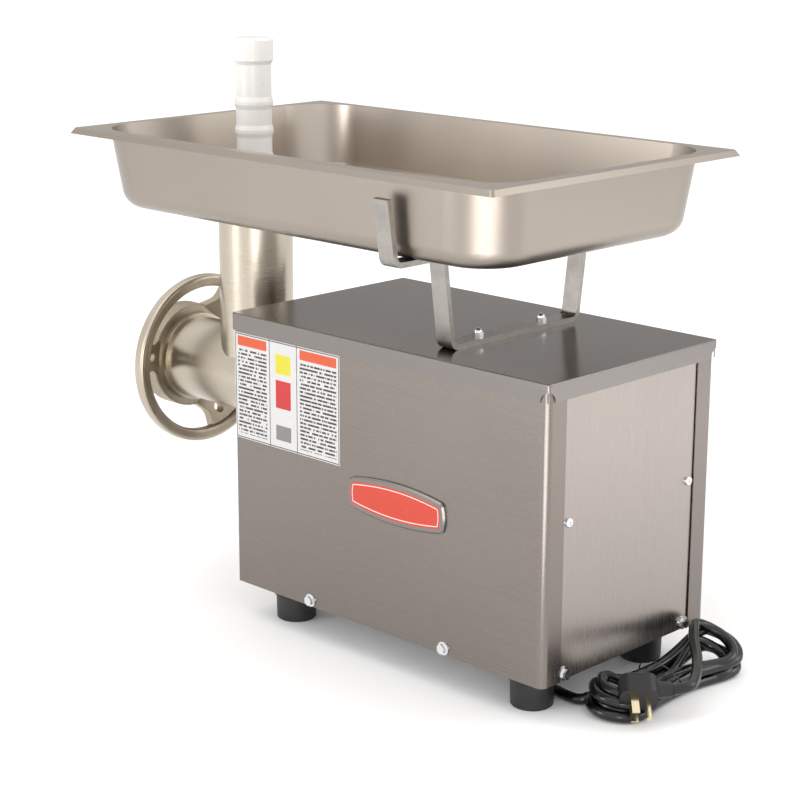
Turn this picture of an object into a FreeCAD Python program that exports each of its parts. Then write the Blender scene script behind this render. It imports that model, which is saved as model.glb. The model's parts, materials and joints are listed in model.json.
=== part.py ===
import FreeCAD
import Part
import math
import os

# Electric meat grinder, size 22. Millimetres, +Z up, the feet stand on z = 0.
# The grinding head points along -Y, the rear panel faces +Y, the badge is on the +X side.
# Shapes are drawn with Y = 0 at mid cabinet and are moved along Y when they are written,
# so that the origin lies under the middle of the machine.

V = FreeCAD.Vector

# ---------------------------------------------------------------- driving sizes
FOOT_HEIGHT = 35.0
FOOT_TOP_R = 21.5
FOOT_BOTTOM_R = 18.5
FOOT_INSET_X = 36.5   # from the cabinet's side to a foot's middle
FOOT_INSET_Y = 41.5

CABINET_WIDTH = 223.0
CABINET_LENGTH = 377.0
CABINET_HEIGHT = 258.2
SHEET = 1.5
REAR_BEND_R = 5.0
FRONT_BEND_R = 1.5
RETURN_FLANGE = 23.5
PANEL_GAP = 1.0
BASE_SHEET = 2.0
BASE_FLANGE = 16.0
BASE_NOTCH = 8.0
POST_LEG = 38.0
POST_SIDE_LEG = 25.0
LID_SKIRT = 16.0
LID_RELIEF_R = 9.0
LID_CORNER_R = 3.0

FIT = 0.05            # radial clearance of a shaft or pin in its hole
PRESS = 0.02          # radial clearance of pieces that are pressed together
SEAT = 0.3            # gap between pieces that only rest on each other
STEP_OVER = 0.01      # how far a cutting tool runs past the face it opens

BOLT_R = 2.5
BOLT_FLANGE_R = 6.0
BOLT_HEX = 8.0
BOLT_HEAD = 4.5
BOLT_BEYOND = 6.0     # thread past the last sheet
SCREW_R = 2.0
SCREW_HEAD_R = 4.2
SCREW_HEAD = 2.4
CASE_BOLT_R = 2.5
CASE_BOLT_HEAD = 4.0
BOLT_Z = 6.0          # above the cabinet's lower edge
SIDE_BOLT_Y = (-88.0, 78.0)
REAR_BOLT_INSET = 5.0    # from the rear panel's edge
REAR_SCREW_INSET = 6.0
REAR_SCREW_Z = 138.0  # above the cabinet's lower edge

AXIS_Z = 202.5        # grinding axis above the floor
BARREL_BORE_R = 36.5
BARREL_WALL = 5.0
BARREL_LENGTH = 170.0
BARREL_STAND_OFF = 35.5  # from the cabinet's front to the barrel's rear
THREAD_LENGTH = 23.0
SPIGOT_R = 38.0
SPIGOT_LENGTH = 25.0
PLATE_LEDGE = 4.5     # the plate is wider than the auger's bore by this
THREAD_WALL = 4.0     # round the plate
PLATE_THICK = 9.0
PLATE_HOLE_R = 4.0
KNIFE_THICK = 9.0
THROAT_SET_BACK = 57.6   # from the barrel's rear to the throat's middle
THROAT_R = 36.2
THROAT_WALL = 3.2
THROAT_ABOVE_PAN_FLOOR = 5.0

NUT_WALL = 8.0
NUT_OVER = 8.0        # from the thread's rear end to the nut's back
NUT_LENGTH = 24.0
NUT_LIP = 8.0
NUT_LIP_GRIP = 5.0    # how far the lip covers the plate
HAND_GAP = 21.3       # between the nut's body and the hand ring
HAND_RING_DEEP = 12.0
HAND_RING_THICK = 12.5
HAND_RING_BEHIND = 21.0  # from the nut's back to the ring's back, towards the cabinet
SPOKES = 3
SPOKE_TURN = 8.0      # degrees from the side up to the first spoke
SPOKE_HOLE_R = 5.0

PAN_LENGTH = 530.0
PAN_WIDTH = 325.0
PAN_RIM_Z = 452.6
PAN_FLANGE = 13.0
PAN_LIP = 5.5
PAN_LIP_SPREAD = 3.4  # the lip leans out by this much
PAN_SHEET = 1.0
PAN_DRAFT = 8.7
PAN_CORNER_R = 50.0
PAN_FLOOR_R = 18.0
PAN_RIM_CORNER_R = 3.0
PAN_EDGE_R = 1.5
PAN_AHEAD = 188.0     # from the throat's middle to the pan's middle
PAN_COLLAR_GAP = 0.5

BRACKET_BAR = 4.8
BRACKET_WIDE = 17.0
BRACKET_Y = 50.0
BRACKET_FOOT_X = 84.0
BRACKET_TOP_X = 95.0
BRACKET_EAR_ROOM = 3.5   # between the pan's rim wall and the ear's outside, at the ear's foot
BRACKET_TIP_ROOM = 12.0
BRACKET_TIP_Z = 432.0
BRACKET_EAR_Z = 379.1
BRACKET_BEND_R = 5.0
BRACKET_BOLT_X = 41.5

PLUNGER_TOP = 531.0
PLUNGER_NECK_R = 17.3
PLUNGER_RIDGE_R = 19.4
PLUNGER_RIDGES = 3
PLUNGER_RIDGE_PITCH = 27.0
PLUNGER_HEAD = 21.0
PLUNGER_FOOT_R = 30.0
PLUNGER_FOOT = 28.0

MOTOR_Z = 141.5
STAGE1_TEETH = (18, 54)
STAGE1_MODULE = 1.5
STAGE1_WIDE = 14.0
STAGE2_TEETH = (18, 50)
STAGE2_MODULE = 2.0
STAGE2_WIDE = 20.0
PRESSURE_ANGLE = math.radians(20)
BACKLASH = 0.16       # taken off each tooth's thickness
GEARBOX_WALL = 5.0
GEARBOX_DEPTH = 75.0
GEAR_ROOM = 3.0       # between a gear's tips and the case
COVER_THICK = 8.0
OUTPUT_SHAFT_R = 15.0
LAYSHAFT_R = 10.0
MOTOR_SHAFT_R = 8.0
DRIVE_SQUARE = 14.0
DRIVE_SQUARE_ROOM = 0.15

ROTOR_R = 32.0
AIR_GAP = 0.4
STATOR_R = 58.0
STATOR_LENGTH = 60.0
MOTOR_WALL = 4.0
MOTOR_LENGTH = 126.0
FAN_R = 50.0
FAN_BLADES = 8
FAN_WIDE = 15.0
CAPACITOR_ROOM = 7.0     # to the cabinet's wall
CAPACITOR_R = 19.0
CAPACITOR_LENGTH = 92.0
CLIP = 1.5

SOCKET_WALL = 6.0
SOCKET_FLANGE_WIDE = 12.0
SOCKET_FLANGE = 6.0
SOCKET_LENGTH = 33.5
LOCK_STEM_R = 5.0
LOCK_KNOB_R = 17.0

SWITCH_Y = -120.0
SWITCH_Z = 228.0
SWITCH_SPACING = 32.0
BUTTON_R = 9.2
BUTTON_TRAVEL = 3.0

BADGE_Y = 21.0
BADGE_Z = 157.5
BADGE_LONG = 117.0
BADGE_HIGH = 35.0
BADGE_THICK = 3.0
LABEL_LONG = 138.0
LABEL_HIGH = 100.0
LABEL_INSET = 1.5     # from the cabinet's front
LABEL_DROP = 1.7      # from the lid's skirt
LABEL_THICK = 0.25

CORD_R = 4.75
GLAND_X = 38.0
GLAND_Y = 100.0
GLAND_DROP = 10.0
CORD_ROUTE = [
    (38, 100, 25), (38, 100, 14), (38.5, 110, 5.4), (41, 129, 5), (47, 147, 5), (50, 165, 5), (50, 181, 5)]
HANK_NEAR_Y = 181.0   # edge of the hank's near loops, under the cabinet's edge
HANK_FAR_Y = 194.0    # edge of the hank's far loops, clear behind the cabinet
HANK_HALF_WIDE = 26.0
HANK_HIGH = 33.0
HANK_FAR_HIGH = 44.0
PLUG_AT = V(48, 239, 22)
PLUG_FACE = V(1, 1, -0.8).normalize()
PLUG_EXIT = V(-1, 1, 0).normalize()

# ---------------------------------------------------------------- derived places
FLOOR_Z = FOOT_HEIGHT
SHELL_X = CABINET_WIDTH / 2
SHELL_Y = CABINET_LENGTH / 2
FOOT_X = SHELL_X - FOOT_INSET_X
FOOT_Y = SHELL_Y - FOOT_INSET_Y
LID_UNDER = FLOOR_Z + CABINET_HEIGHT
LID_TOP = LID_UNDER + SHEET
LABEL_TOP = LID_TOP - LID_SKIRT - LABEL_DROP
LABEL_Z = (LABEL_TOP - LABEL_HIGH, LABEL_TOP)
INNER_X = SHELL_X - SHEET
INNER_Y = SHELL_Y - SHEET
PANEL_X = SHELL_X - RETURN_FLANGE - PANEL_GAP
PANEL_OUT = INNER_Y
PANEL_IN = PANEL_OUT - SHEET
REAR_BOLT_X = PANEL_X - REAR_BOLT_INSET
REAR_SCREW_X = PANEL_X - REAR_SCREW_INSET
CAPACITOR_X = -INNER_X + CAPACITOR_ROOM + CAPACITOR_R

PLATE_R = BARREL_BORE_R + PLATE_LEDGE
THREAD_R = PLATE_R + THREAD_WALL
BARREL_R = BARREL_BORE_R + BARREL_WALL
BARREL_REAR = -SHELL_Y - BARREL_STAND_OFF
BARREL_FRONT = BARREL_REAR - BARREL_LENGTH
BARREL_COLLAR_Y = BARREL_FRONT + THREAD_LENGTH
THROAT_Y = BARREL_REAR - THROAT_SET_BACK
NUT_BODY_R = THREAD_R + NUT_WALL
NUT_LIP_R = PLATE_R - NUT_LIP_GRIP
NUT_BACK = BARREL_COLLAR_Y - NUT_OVER
NUT_FRONT = NUT_BACK - NUT_LENGTH
HAND_RING_INNER_R = NUT_BODY_R + HAND_GAP
HAND_RING_R = HAND_RING_INNER_R + HAND_RING_DEEP
HAND_RING_BACK = NUT_BACK + HAND_RING_BEHIND
SOCKET_R = SPIGOT_R + SOCKET_WALL
SOCKET_FLANGE_R = SOCKET_R + SOCKET_FLANGE_WIDE
PAN_CENTRE_Y = THROAT_Y + PAN_AHEAD
PAN_WALL_X = PAN_WIDTH / 2 - PAN_FLANGE
BRACKET_EAR_X = PAN_WALL_X + BRACKET_EAR_ROOM
BRACKET_TIP_X = PAN_WALL_X + BRACKET_TIP_ROOM
LABEL_Y = (LABEL_INSET - SHELL_Y, LABEL_INSET - SHELL_Y + LABEL_LONG)
ORIGIN_Y = (NUT_FRONT + PANEL_OUT + BOLT_HEAD) / 2

STAGE1_CENTRES = STAGE1_MODULE * sum(STAGE1_TEETH) / 2
STAGE2_CENTRES = STAGE2_MODULE * sum(STAGE2_TEETH) / 2
DRIVE_DROP = AXIS_Z - MOTOR_Z
LAYSHAFT_UP = (STAGE1_CENTRES ** 2 - STAGE2_CENTRES ** 2 + DRIVE_DROP ** 2) / (2 * DRIVE_DROP)
LAYSHAFT_X = math.sqrt(STAGE1_CENTRES ** 2 - LAYSHAFT_UP ** 2)
LAYSHAFT_Z = MOTOR_Z + LAYSHAFT_UP

CASE_FRONT = -INNER_Y
CASE_REAR = CASE_FRONT + GEARBOX_DEPTH
COVER_REAR = CASE_REAR + COVER_THICK
CASE_FLOOR = CASE_FRONT + 6.0
SEAL_WIDE = 5.0
OUTPUT_BEARING_R = 31.0
BEARING_WIDE = 11.0
OUTPUT_BEARING_Y = CASE_FRONT + SEAL_WIDE + 0.5
STAGE2_Y = OUTPUT_BEARING_Y + BEARING_WIDE + 3.5
STAGE1_Y = STAGE2_Y + STAGE2_WIDE + 8.0
PINION_REAR = STAGE1_Y + STAGE1_WIDE + 2
MOTOR_RADIUS = STATOR_R + MOTOR_WALL
MOTOR_REAR = COVER_REAR + MOTOR_LENGTH
STATOR_Y = COVER_REAR + 34.0
HUB_Y = CASE_FRONT - 9.0
HUB_R = 19.0

PAN_UNDER = BRACKET_EAR_Z + SEAT
THROAT_TOP = PAN_UNDER + PAN_SHEET + THROAT_ABOVE_PAN_FLOOR
PLATE_FRONT = NUT_FRONT + NUT_LIP + SEAT
PLATE_BACK = PLATE_FRONT + PLATE_THICK
KNIFE_BACK = PLATE_BACK + 0.1 + KNIFE_THICK
AUGER_R = BARREL_BORE_R - 0.7
AUGER_CORE_R = 15.0
AUGER_SHANK_R = 14.0
SPIGOT_REAR = BARREL_REAR + SPIGOT_LENGTH
TANG_REAR = HUB_Y + 16.0


# ---------------------------------------------------------------- drawing helpers
def box(x0, x1, y0, y1, z0, z1):
    return Part.makeBox(x1 - x0, y1 - y0, z1 - z0, V(x0, y0, z0))


def rod_y(x, z, radius, y0, y1):
    return Part.makeCylinder(radius, y1 - y0, V(x, y0, z), V(0, 1, 0))


def rod_x(y, z, radius, x0, x1):
    return Part.makeCylinder(radius, x1 - x0, V(x0, y, z), V(1, 0, 0))


def rod_z(x, y, radius, z0, z1):
    return Part.makeCylinder(radius, z1 - z0, V(x, y, z0), V(0, 0, 1))


def ring_y(x, z, outer, inner, y0, y1):
    return rod_y(x, z, outer, y0, y1).cut(rod_y(x, z, inner, y0 - 1, y1 + 1))


def union(shapes):
    return shapes[0].multiFuse(shapes[1:]).removeSplitter()


def prism(wire, direction):
    return Part.Face(wire).extrude(direction)


def polygon(points, direction):
    return prism(Part.makePolygon(points + [points[0]]), direction)


def hex_rod(centre, across, direction):
    """Hexagonal prism from centre along direction."""
    axis = V(direction).normalize()
    side = V(0, 0, 1) if abs(axis.z) < 0.5 else V(1, 0, 0)
    other = axis.cross(side)
    radius = across / math.sqrt(3)
    corners = []
    for k in range(6):
        angle = math.radians(60 * k)
        corners.append(centre + side * (radius * math.cos(angle)) + other * (radius * math.sin(angle)))
    return polygon(corners, direction)


def rounded_wire(points, radii, closed=True):
    """Straight runs joined by tangent arcs; one radius per point."""
    count = len(points)
    ends = []
    edges = []
    for k in range(count):
        point = points[k]
        if radii[k] <= 0:
            ends.append((point, point, None))
            continue
        back = (points[k - 1] - point).normalize()
        ahead = (points[(k + 1) % count] - point).normalize()
        half = (math.pi - back.getAngle(ahead)) / 2
        reach = radii[k] * math.tan(half)
        middle = (back + ahead).normalize()
        bulge = radii[k] / math.cos(half) - radii[k]
        ends.append((point + back * reach, point + ahead * reach, point + middle * bulge))
    for k in range(count if closed else count - 1):
        start, finish = ends[k][1], ends[(k + 1) % count][0]
        if (finish - start).Length > 1e-6:
            edges.append(Part.LineSegment(start, finish).toShape())
        arrive, leave, through = ends[(k + 1) % count]
        if through is not None:
            edges.append(Part.Arc(arrive, through, leave).toShape())
    return Part.Wire(edges)


def offset_path(points, distance):
    """Mitred copy of an open 2-D path, to its left by distance."""
    out = []
    for k, point in enumerate(points):
        normals = []
        for a, b in ((k - 1, k), (k, k + 1)):
            if 0 <= a and b < len(points):
                run = (points[b] - points[a]).normalize()
                normals.append(V(-run.y, run.x, 0))
        total = normals[0] + normals[-1]
        out.append(point + total * (distance / (1 + normals[0].dot(normals[-1]))))
    return out


def bent_sheet(path, thickness, bends, place, direction):
    """Bent strip: path is its mid line in 2-D, bends the inner radius at each inner point."""
    middle = [V(a, b, 0) for a, b in path]
    left = offset_path(middle, thickness / 2)
    right = offset_path(middle, -thickness / 2)
    left_r, right_r = [0], [0]
    for k, bend in enumerate(bends):
        before = middle[k + 1] - middle[k]
        after = middle[k + 2] - middle[k + 1]
        turns_left = before.cross(after).z > 0
        left_r.append(bend if turns_left else bend + thickness)
        right_r.append(bend + thickness if turns_left else bend)
    outline = left + right[::-1]
    radii = left_r + [0] + (right_r + [0])[::-1]
    return prism(rounded_wire([place(p.x, p.y) for p in outline], radii), direction)


def rounded_block(x0, x1, y0, y1, z0, z1, radius):
    corners = [V(x0, y0, z0), V(x1, y0, z0), V(x1, y1, z0), V(x0, y1, z0)]
    return prism(rounded_wire(corners, [radius] * 4), V(0, 0, z1 - z0))


def turned(profile, base, axis):
    """Solid of revolution: profile is (radius, height along axis) from base."""
    side = V(1, 0, 0)
    points = [base + side * r + axis * h for r, h in profile]
    face = Part.Face(Part.makePolygon(points + [points[0]]))
    return face.revolve(base, axis, 360)


def edges_at(shape, test):
    return [edge for edge in shape.Edges if test(edge)]


def flat_at(z):
    return lambda edge: all(abs(vertex.Point.z - z) < 1e-4 for vertex in edge.Vertexes)


def write(name, shapes):
    solids = []
    for shape in shapes if isinstance(shapes, list) else [shapes]:
        solids.extend(shape.Solids)
    whole = solids[0] if len(solids) == 1 else Part.Compound(solids)
    whole.translate(V(0, -ORIGIN_Y, 0))
    if not whole.isValid():
        raise ValueError(name + " is not a valid shape")
    whole.exportStep("parts/" + name + ".step")
    print(name, len(solids), "solid(s)", round(whole.Volume / 1000, 2), "cm3")


# ---------------------------------------------------------------- gears
def involute_angle(base_r, radius):
    pressure = math.acos(min(1.0, base_r / radius))
    return math.tan(pressure) - pressure


def spur_gear(teeth, module, width, x, z, y, phase):
    """Spur gear about Y; phase is the angle of one tooth's middle, from +X towards +Z."""
    pitch_r = teeth * module / 2
    base_r = pitch_r * math.cos(PRESSURE_ANGLE)
    tip_r = pitch_r + module
    root_r = pitch_r - 1.25 * module
    flank_r = max(base_r, root_r)
    half_tooth = math.pi / (2 * teeth) - BACKLASH / (2 * pitch_r) + involute_angle(base_r, pitch_r)

    def at(radius, angle):
        return V(x + radius * math.cos(angle), y, z + radius * math.sin(angle))

    edges = []
    for tooth in range(teeth):
        middle = phase + 2 * math.pi * tooth / teeth
        after = phase + 2 * math.pi * (tooth + 1) / teeth
        sides = []
        for sign in (-1, 1):
            flank = []
            for step in range(5):
                radius = flank_r + (tip_r - flank_r) * step / 4
                flank.append(at(radius, middle + sign * (half_tooth - involute_angle(base_r, radius))))
            sides.append(flank)
        foot = half_tooth - involute_angle(base_r, flank_r)
        rise, fall = sides[0], sides[1][::-1]
        for flank in (rise, fall):
            curve = Part.BSplineCurve()
            curve.interpolate(flank)
            edges.append(curve.toShape())
        edges.append(Part.Arc(rise[-1], at(tip_r, middle), fall[0]).toShape())
        gap_start, gap_end = at(root_r, middle + foot), at(root_r, after - foot)
        if flank_r > root_r:
            edges.append(Part.LineSegment(fall[-1], gap_start).toShape())
            edges.append(Part.LineSegment(gap_end, at(flank_r, after - foot)).toShape())
        edges.append(Part.Arc(gap_start, at(root_r, (middle + after) / 2), gap_end).toShape())
    return prism(Part.Wire(Part.__sortEdges__(edges)), V(0, width, 0))


# ---------------------------------------------------------------- cabinet
def bottom_bolt_places():
    z = FLOOR_Z + BOLT_Z
    places = []
    for y in SIDE_BOLT_Y:
        places.append((V(SHELL_X, y, z), V(1, 0, 0)))
        places.append((V(-SHELL_X, y, z), V(-1, 0, 0)))
    for side in (-1, 1):
        places.append((V(side * REAR_BOLT_X, PANEL_OUT, z), V(0, 1, 0)))
    return places


def drilled(shape, places, radius, depth):
    """Holes from each place inwards, against its outward direction."""
    for point, outward in places:
        hole = Part.makeCylinder(radius, depth + 2, point + outward, outward * -1)
        shape = shape.cut(hole)
    return shape


def base_plate():
    corners = [V(-INNER_X, -INNER_Y, FLOOR_Z), V(INNER_X, -INNER_Y, FLOOR_Z),
               V(INNER_X, PANEL_IN, FLOOR_Z), V(-INNER_X, PANEL_IN, FLOOR_Z)]
    corner_r = (FRONT_BEND_R * 2, FRONT_BEND_R * 2, REAR_BEND_R + 1, REAR_BEND_R + 1)
    tray = [prism(rounded_wire(corners, corner_r), V(0, 0, BASE_SHEET))]
    top = FLOOR_Z + BASE_FLANGE
    side_x, end_x = INNER_X - BASE_SHEET, INNER_X - BASE_NOTCH
    front, rear = -INNER_Y + BASE_NOTCH, PANEL_IN - BASE_NOTCH
    tray.append(box(side_x, INNER_X, front, rear, FLOOR_Z, top))
    tray.append(box(-INNER_X, -side_x, front, rear, FLOOR_Z, top))
    tray.append(box(-end_x, end_x, -INNER_Y, -INNER_Y + BASE_SHEET, FLOOR_Z, top))
    tray.append(box(-end_x, end_x, PANEL_IN - BASE_SHEET, PANEL_IN, FLOOR_Z, top))
    shape = drilled(union(tray), bottom_bolt_places(), BOLT_R + FIT, SHEET + BASE_SHEET)
    for x, y in foot_places():
        shape = shape.cut(rod_z(x, y, 3 + FIT, FLOOR_Z - 1, FLOOR_Z + BASE_SHEET + 1))
    return shape.cut(rod_z(GLAND_X, GLAND_Y, 8 + FIT, FLOOR_Z - 1, FLOOR_Z + BASE_SHEET + 1))


def housing_wrap():
    mid_x, mid_y = SHELL_X - SHEET / 2, SHELL_Y - SHEET / 2
    flange_x = SHELL_X - RETURN_FLANGE
    path = [(-flange_x, mid_y), (-mid_x, mid_y), (-mid_x, -mid_y),
            (mid_x, -mid_y), (mid_x, mid_y), (flange_x, mid_y)]
    bends = [REAR_BEND_R, FRONT_BEND_R, FRONT_BEND_R, REAR_BEND_R]
    shape = bent_sheet(path, SHEET, bends, lambda a, b: V(a, b, FLOOR_Z), V(0, 0, CABINET_HEIGHT))
    shape = drilled(shape, bottom_bolt_places()[:4], BOLT_R + FIT, SHEET)
    shape = shape.cut(rod_y(0, AXIS_Z, OUTPUT_BEARING_R, -SHELL_Y - 1, -INNER_Y + 1))
    for x, z in socket_bolt_places():
        shape = shape.cut(rod_y(x, z, BOLT_R + FIT, -SHELL_Y - 1, -INNER_Y + 1))
    for z in button_heights():
        shape = shape.cut(rod_x(SWITCH_Y, z, BUTTON_R + 2.6, -SHELL_X - 1, -INNER_X + 1))
    return shape


def rear_panel():
    shape = box(-PANEL_X, PANEL_X, PANEL_IN, PANEL_OUT, FLOOR_Z + 0.5, LID_UNDER - SEAT)
    shape = drilled(shape, bottom_bolt_places()[4:], BOLT_R + FIT, SHEET)
    return drilled(shape, rear_screw_places(), SCREW_R + FIT, SHEET)


def rear_screw_places():
    z = FLOOR_Z + REAR_SCREW_Z
    return [(V(side * REAR_SCREW_X, PANEL_OUT, z), V(0, 1, 0)) for side in (-1, 1)]


def rear_post(side):
    mid = SHEET / 2
    path = [(INNER_X - POST_LEG, PANEL_IN - mid), (INNER_X - mid, PANEL_IN - mid),
            (INNER_X - mid, PANEL_IN - POST_SIDE_LEG)]
    bottom = FLOOR_Z + BASE_FLANGE
    shape = bent_sheet(path, SHEET, [REAR_BEND_R], lambda a, b: V(side * a, b, bottom),
                       V(0, 0, LID_UNDER - SEAT - bottom))
    return drilled(shape, rear_screw_places(), SCREW_R + FIT, 2 * SHEET)


def top_cover():
    half_x, half_y = SHELL_X + SHEET, SHELL_Y + SHEET
    skirt_z = LID_TOP - LID_SKIRT
    outer = rounded_block(-half_x, half_x, -half_y, half_y, skirt_z, LID_TOP, LID_CORNER_R)
    outer = outer.makeFillet(1.2, edges_at(outer, flat_at(LID_TOP)))
    inner = rounded_block(-SHELL_X, SHELL_X, -SHELL_Y, SHELL_Y, skirt_z - 1, LID_UNDER, LID_CORNER_R - SHEET)
    shape = outer.cut(inner)
    for side in (-1, 1):
        shape = shape.cut(rod_y(side * half_x, skirt_z, LID_RELIEF_R, SHELL_Y - STEP_OVER, half_y + 1))
        inner_x, outer_x = side * (SHELL_X - STEP_OVER), side * (half_x + 1)
        shape = shape.cut(rod_x(half_y, skirt_z, LID_RELIEF_R, min(inner_x, outer_x), max(inner_x, outer_x)))
    for x in (-BRACKET_BOLT_X, BRACKET_BOLT_X):
        shape = shape.cut(rod_z(x, BRACKET_Y, BOLT_R + FIT, LID_UNDER - 1, LID_TOP + 1))
    return shape


# ---------------------------------------------------------------- feet and fasteners
def foot_places():
    return [(sx * FOOT_X, sy * FOOT_Y) for sy in (-1, 1) for sx in (-1, 1)]


def foot(x, y):
    ledge = FOOT_HEIGHT * 0.66
    profile = [(3.2, 0), (FOOT_BOTTOM_R - 1.2, 0), (FOOT_BOTTOM_R, 1.2),
               (FOOT_TOP_R - 2.4, ledge), (FOOT_TOP_R - 0.4, ledge + 1.5),
               (FOOT_TOP_R, FOOT_HEIGHT), (3.2, FOOT_HEIGHT), (3.2, 12), (9, 12), (9, 4), (3.2, 4)]
    shape = turned(profile, V(x, y, 0), V(0, 0, 1))
    return shape.cut(rod_z(x, y, 9, -1, 12))


def foot_bolt(x, y):
    head = rod_z(x, y, 7, 7.5, 12)
    shank = rod_z(x, y, 3, 12, FLOOR_Z + BASE_SHEET + 8)
    nut = hex_rod(V(x, y, FLOOR_Z + BASE_SHEET), 10, V(0, 0, 5))
    return union([head, shank, nut])


def flanged_bolt(point, outward):
    shank_length = SHEET + BASE_SHEET + BOLT_BEYOND
    shank = Part.makeCylinder(BOLT_R, shank_length, point, outward * -1)
    flange = Part.makeCylinder(BOLT_FLANGE_R, 1.2, point, outward)
    head = hex_rod(point + outward * 1.2, BOLT_HEX, outward * (BOLT_HEAD - 1.2))
    return union([shank, flange, head])


def rear_screw(point, outward):
    shank = Part.makeCylinder(SCREW_R, 2 * SHEET + BOLT_BEYOND, point, outward * -1)
    head = Part.makeCylinder(SCREW_HEAD_R, SCREW_HEAD, point, outward)
    head = head.makeFillet(SCREW_HEAD / 2, edges_at(head, lambda e: e.Vertexes[0].Point.y > point.y + STEP_OVER))
    for half_x, half_z in ((2.2, 0.45), (0.45, 2.2)):
        head = head.cut(box(point.x - half_x, point.x + half_x, point.y + 1.2, point.y + 3,
                            point.z - half_z, point.z + half_z))
    return union([shank, head])


# ---------------------------------------------------------------- pan and its bracket
def pan_bracket():
    mid = BRACKET_BAR / 2
    foot_z, ear_z = LID_TOP + mid, BRACKET_EAR_Z - mid
    half = [(BRACKET_FOOT_X, foot_z), (BRACKET_TOP_X, ear_z),
            (BRACKET_EAR_X, ear_z), (BRACKET_TIP_X, BRACKET_TIP_Z)]
    half = [(x - mid, z) for x, z in half]
    path = [(-x, z) for x, z in half[::-1]] + half
    bends = [BRACKET_BEND_R] * (len(path) - 2)
    y0 = BRACKET_Y - BRACKET_WIDE / 2
    shape = bent_sheet(path, BRACKET_BAR, bends, lambda a, b: V(a, y0, b), V(0, BRACKET_WIDE, 0))
    for x in (-BRACKET_BOLT_X, BRACKET_BOLT_X):
        shape = shape.cut(rod_z(x, BRACKET_Y, BOLT_R + FIT, LID_TOP - 1, LID_TOP + BRACKET_BAR + 1))
    return shape


def bracket_bolt(x):
    head = rod_z(x, BRACKET_Y, 5.5, LID_UNDER - 3, LID_UNDER)
    shank = rod_z(x, BRACKET_Y, BOLT_R, LID_UNDER, LID_TOP + BRACKET_BAR + 5)
    return union([head, shank])


def dome_nut(x):
    seat_z = LID_TOP + BRACKET_BAR
    body = hex_rod(V(x, BRACKET_Y, seat_z), 8, V(0, 0, 4))
    dome = Part.makeSphere(3.7, V(x, BRACKET_Y, seat_z + 4))
    dome = dome.common(rod_z(x, BRACKET_Y, 4.5, seat_z + 3, seat_z + 9))
    shape = union([body, dome])
    return shape.cut(rod_z(x, BRACKET_Y, BOLT_R + FIT, seat_z - 1, seat_z + 5.2))


def pan_shell(inset, under, top):
    """Solid filling the pan's bowl, inset from the outside of its walls."""
    wires = []
    for z, draft in ((under, PAN_DRAFT), (top, 0)):
        half_x = PAN_WIDTH / 2 - PAN_FLANGE - draft - inset
        half_y = PAN_LENGTH / 2 - PAN_FLANGE - draft - inset
        corners = [V(-half_x, PAN_CENTRE_Y - half_y, z), V(half_x, PAN_CENTRE_Y - half_y, z),
                   V(half_x, PAN_CENTRE_Y + half_y, z), V(-half_x, PAN_CENTRE_Y + half_y, z)]
        wires.append(rounded_wire(corners, [PAN_CORNER_R - inset] * 4))
    shape = Part.makeLoft(wires, True)
    return shape.makeFillet(PAN_FLOOR_R - inset, edges_at(shape, flat_at(under)))


def pan_rim(inset, bottom, top):
    """Solid under the rim's flat top, spreading down to the lip's edge."""
    wires = []
    for z in (bottom, top):
        lean = PAN_LIP_SPREAD * (z - PAN_RIM_Z + PAN_LIP) / PAN_LIP + inset
        half_x, half_y = PAN_WIDTH / 2 - lean, PAN_LENGTH / 2 - lean
        corners = [V(-half_x, PAN_CENTRE_Y - half_y, z), V(half_x, PAN_CENTRE_Y - half_y, z),
                   V(half_x, PAN_CENTRE_Y + half_y, z), V(-half_x, PAN_CENTRE_Y + half_y, z)]
        wires.append(rounded_wire(corners, [PAN_RIM_CORNER_R] * 4))
    return Part.makeLoft(wires, True)


def feed_pan():
    outer = pan_shell(0, PAN_UNDER, PAN_RIM_Z)
    inner = pan_shell(PAN_SHEET, PAN_UNDER + PAN_SHEET, PAN_RIM_Z + PAN_SHEET)
    rim = pan_rim(0, PAN_RIM_Z - PAN_LIP, PAN_RIM_Z)
    rim = rim.makeFillet(PAN_EDGE_R, edges_at(rim, flat_at(PAN_RIM_Z)))
    hollow = pan_rim(1.2 * PAN_SHEET, PAN_RIM_Z - PAN_LIP - 1, PAN_RIM_Z - PAN_SHEET)
    hole_r = THROAT_R + PAN_COLLAR_GAP
    collar = rod_z(0, THROAT_Y, hole_r + PAN_SHEET, PAN_UNDER + PAN_SHEET / 2, THROAT_TOP + 1)
    shape = union([outer, rim.cut(hollow)]).cut(inner)
    return union([shape, collar]).cut(rod_z(0, THROAT_Y, hole_r, PAN_UNDER - 1, THROAT_TOP + 2))


def plunger():
    ridge, neck = PLUNGER_RIDGE_R, PLUNGER_NECK_R
    length = PLUNGER_TOP - (AXIS_Z + AUGER_R + SEAT)
    profile = [(0, 0), (PLUNGER_FOOT_R - 3, 0), (PLUNGER_FOOT_R, 3), (PLUNGER_FOOT_R, PLUNGER_FOOT - 3),
               (PLUNGER_FOOT_R - 3, PLUNGER_FOOT), (neck, PLUNGER_FOOT + 14)]
    for k in range(PLUNGER_RIDGES, 0, -1):
        height = length - PLUNGER_HEAD - (k + 0.5) * PLUNGER_RIDGE_PITCH
        profile += [(neck, height - 6), (ridge - 0.7, height - 1.5), (ridge - 0.7, height + 1.5), (neck, height + 6)]
    profile += [(neck, length - PLUNGER_HEAD - 4), (ridge, length - PLUNGER_HEAD),
                (ridge, length - 2), (ridge - 2, length), (0, length)]
    return turned(profile, V(0, THROAT_Y, PLUNGER_TOP - length), V(0, 0, 1))


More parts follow.
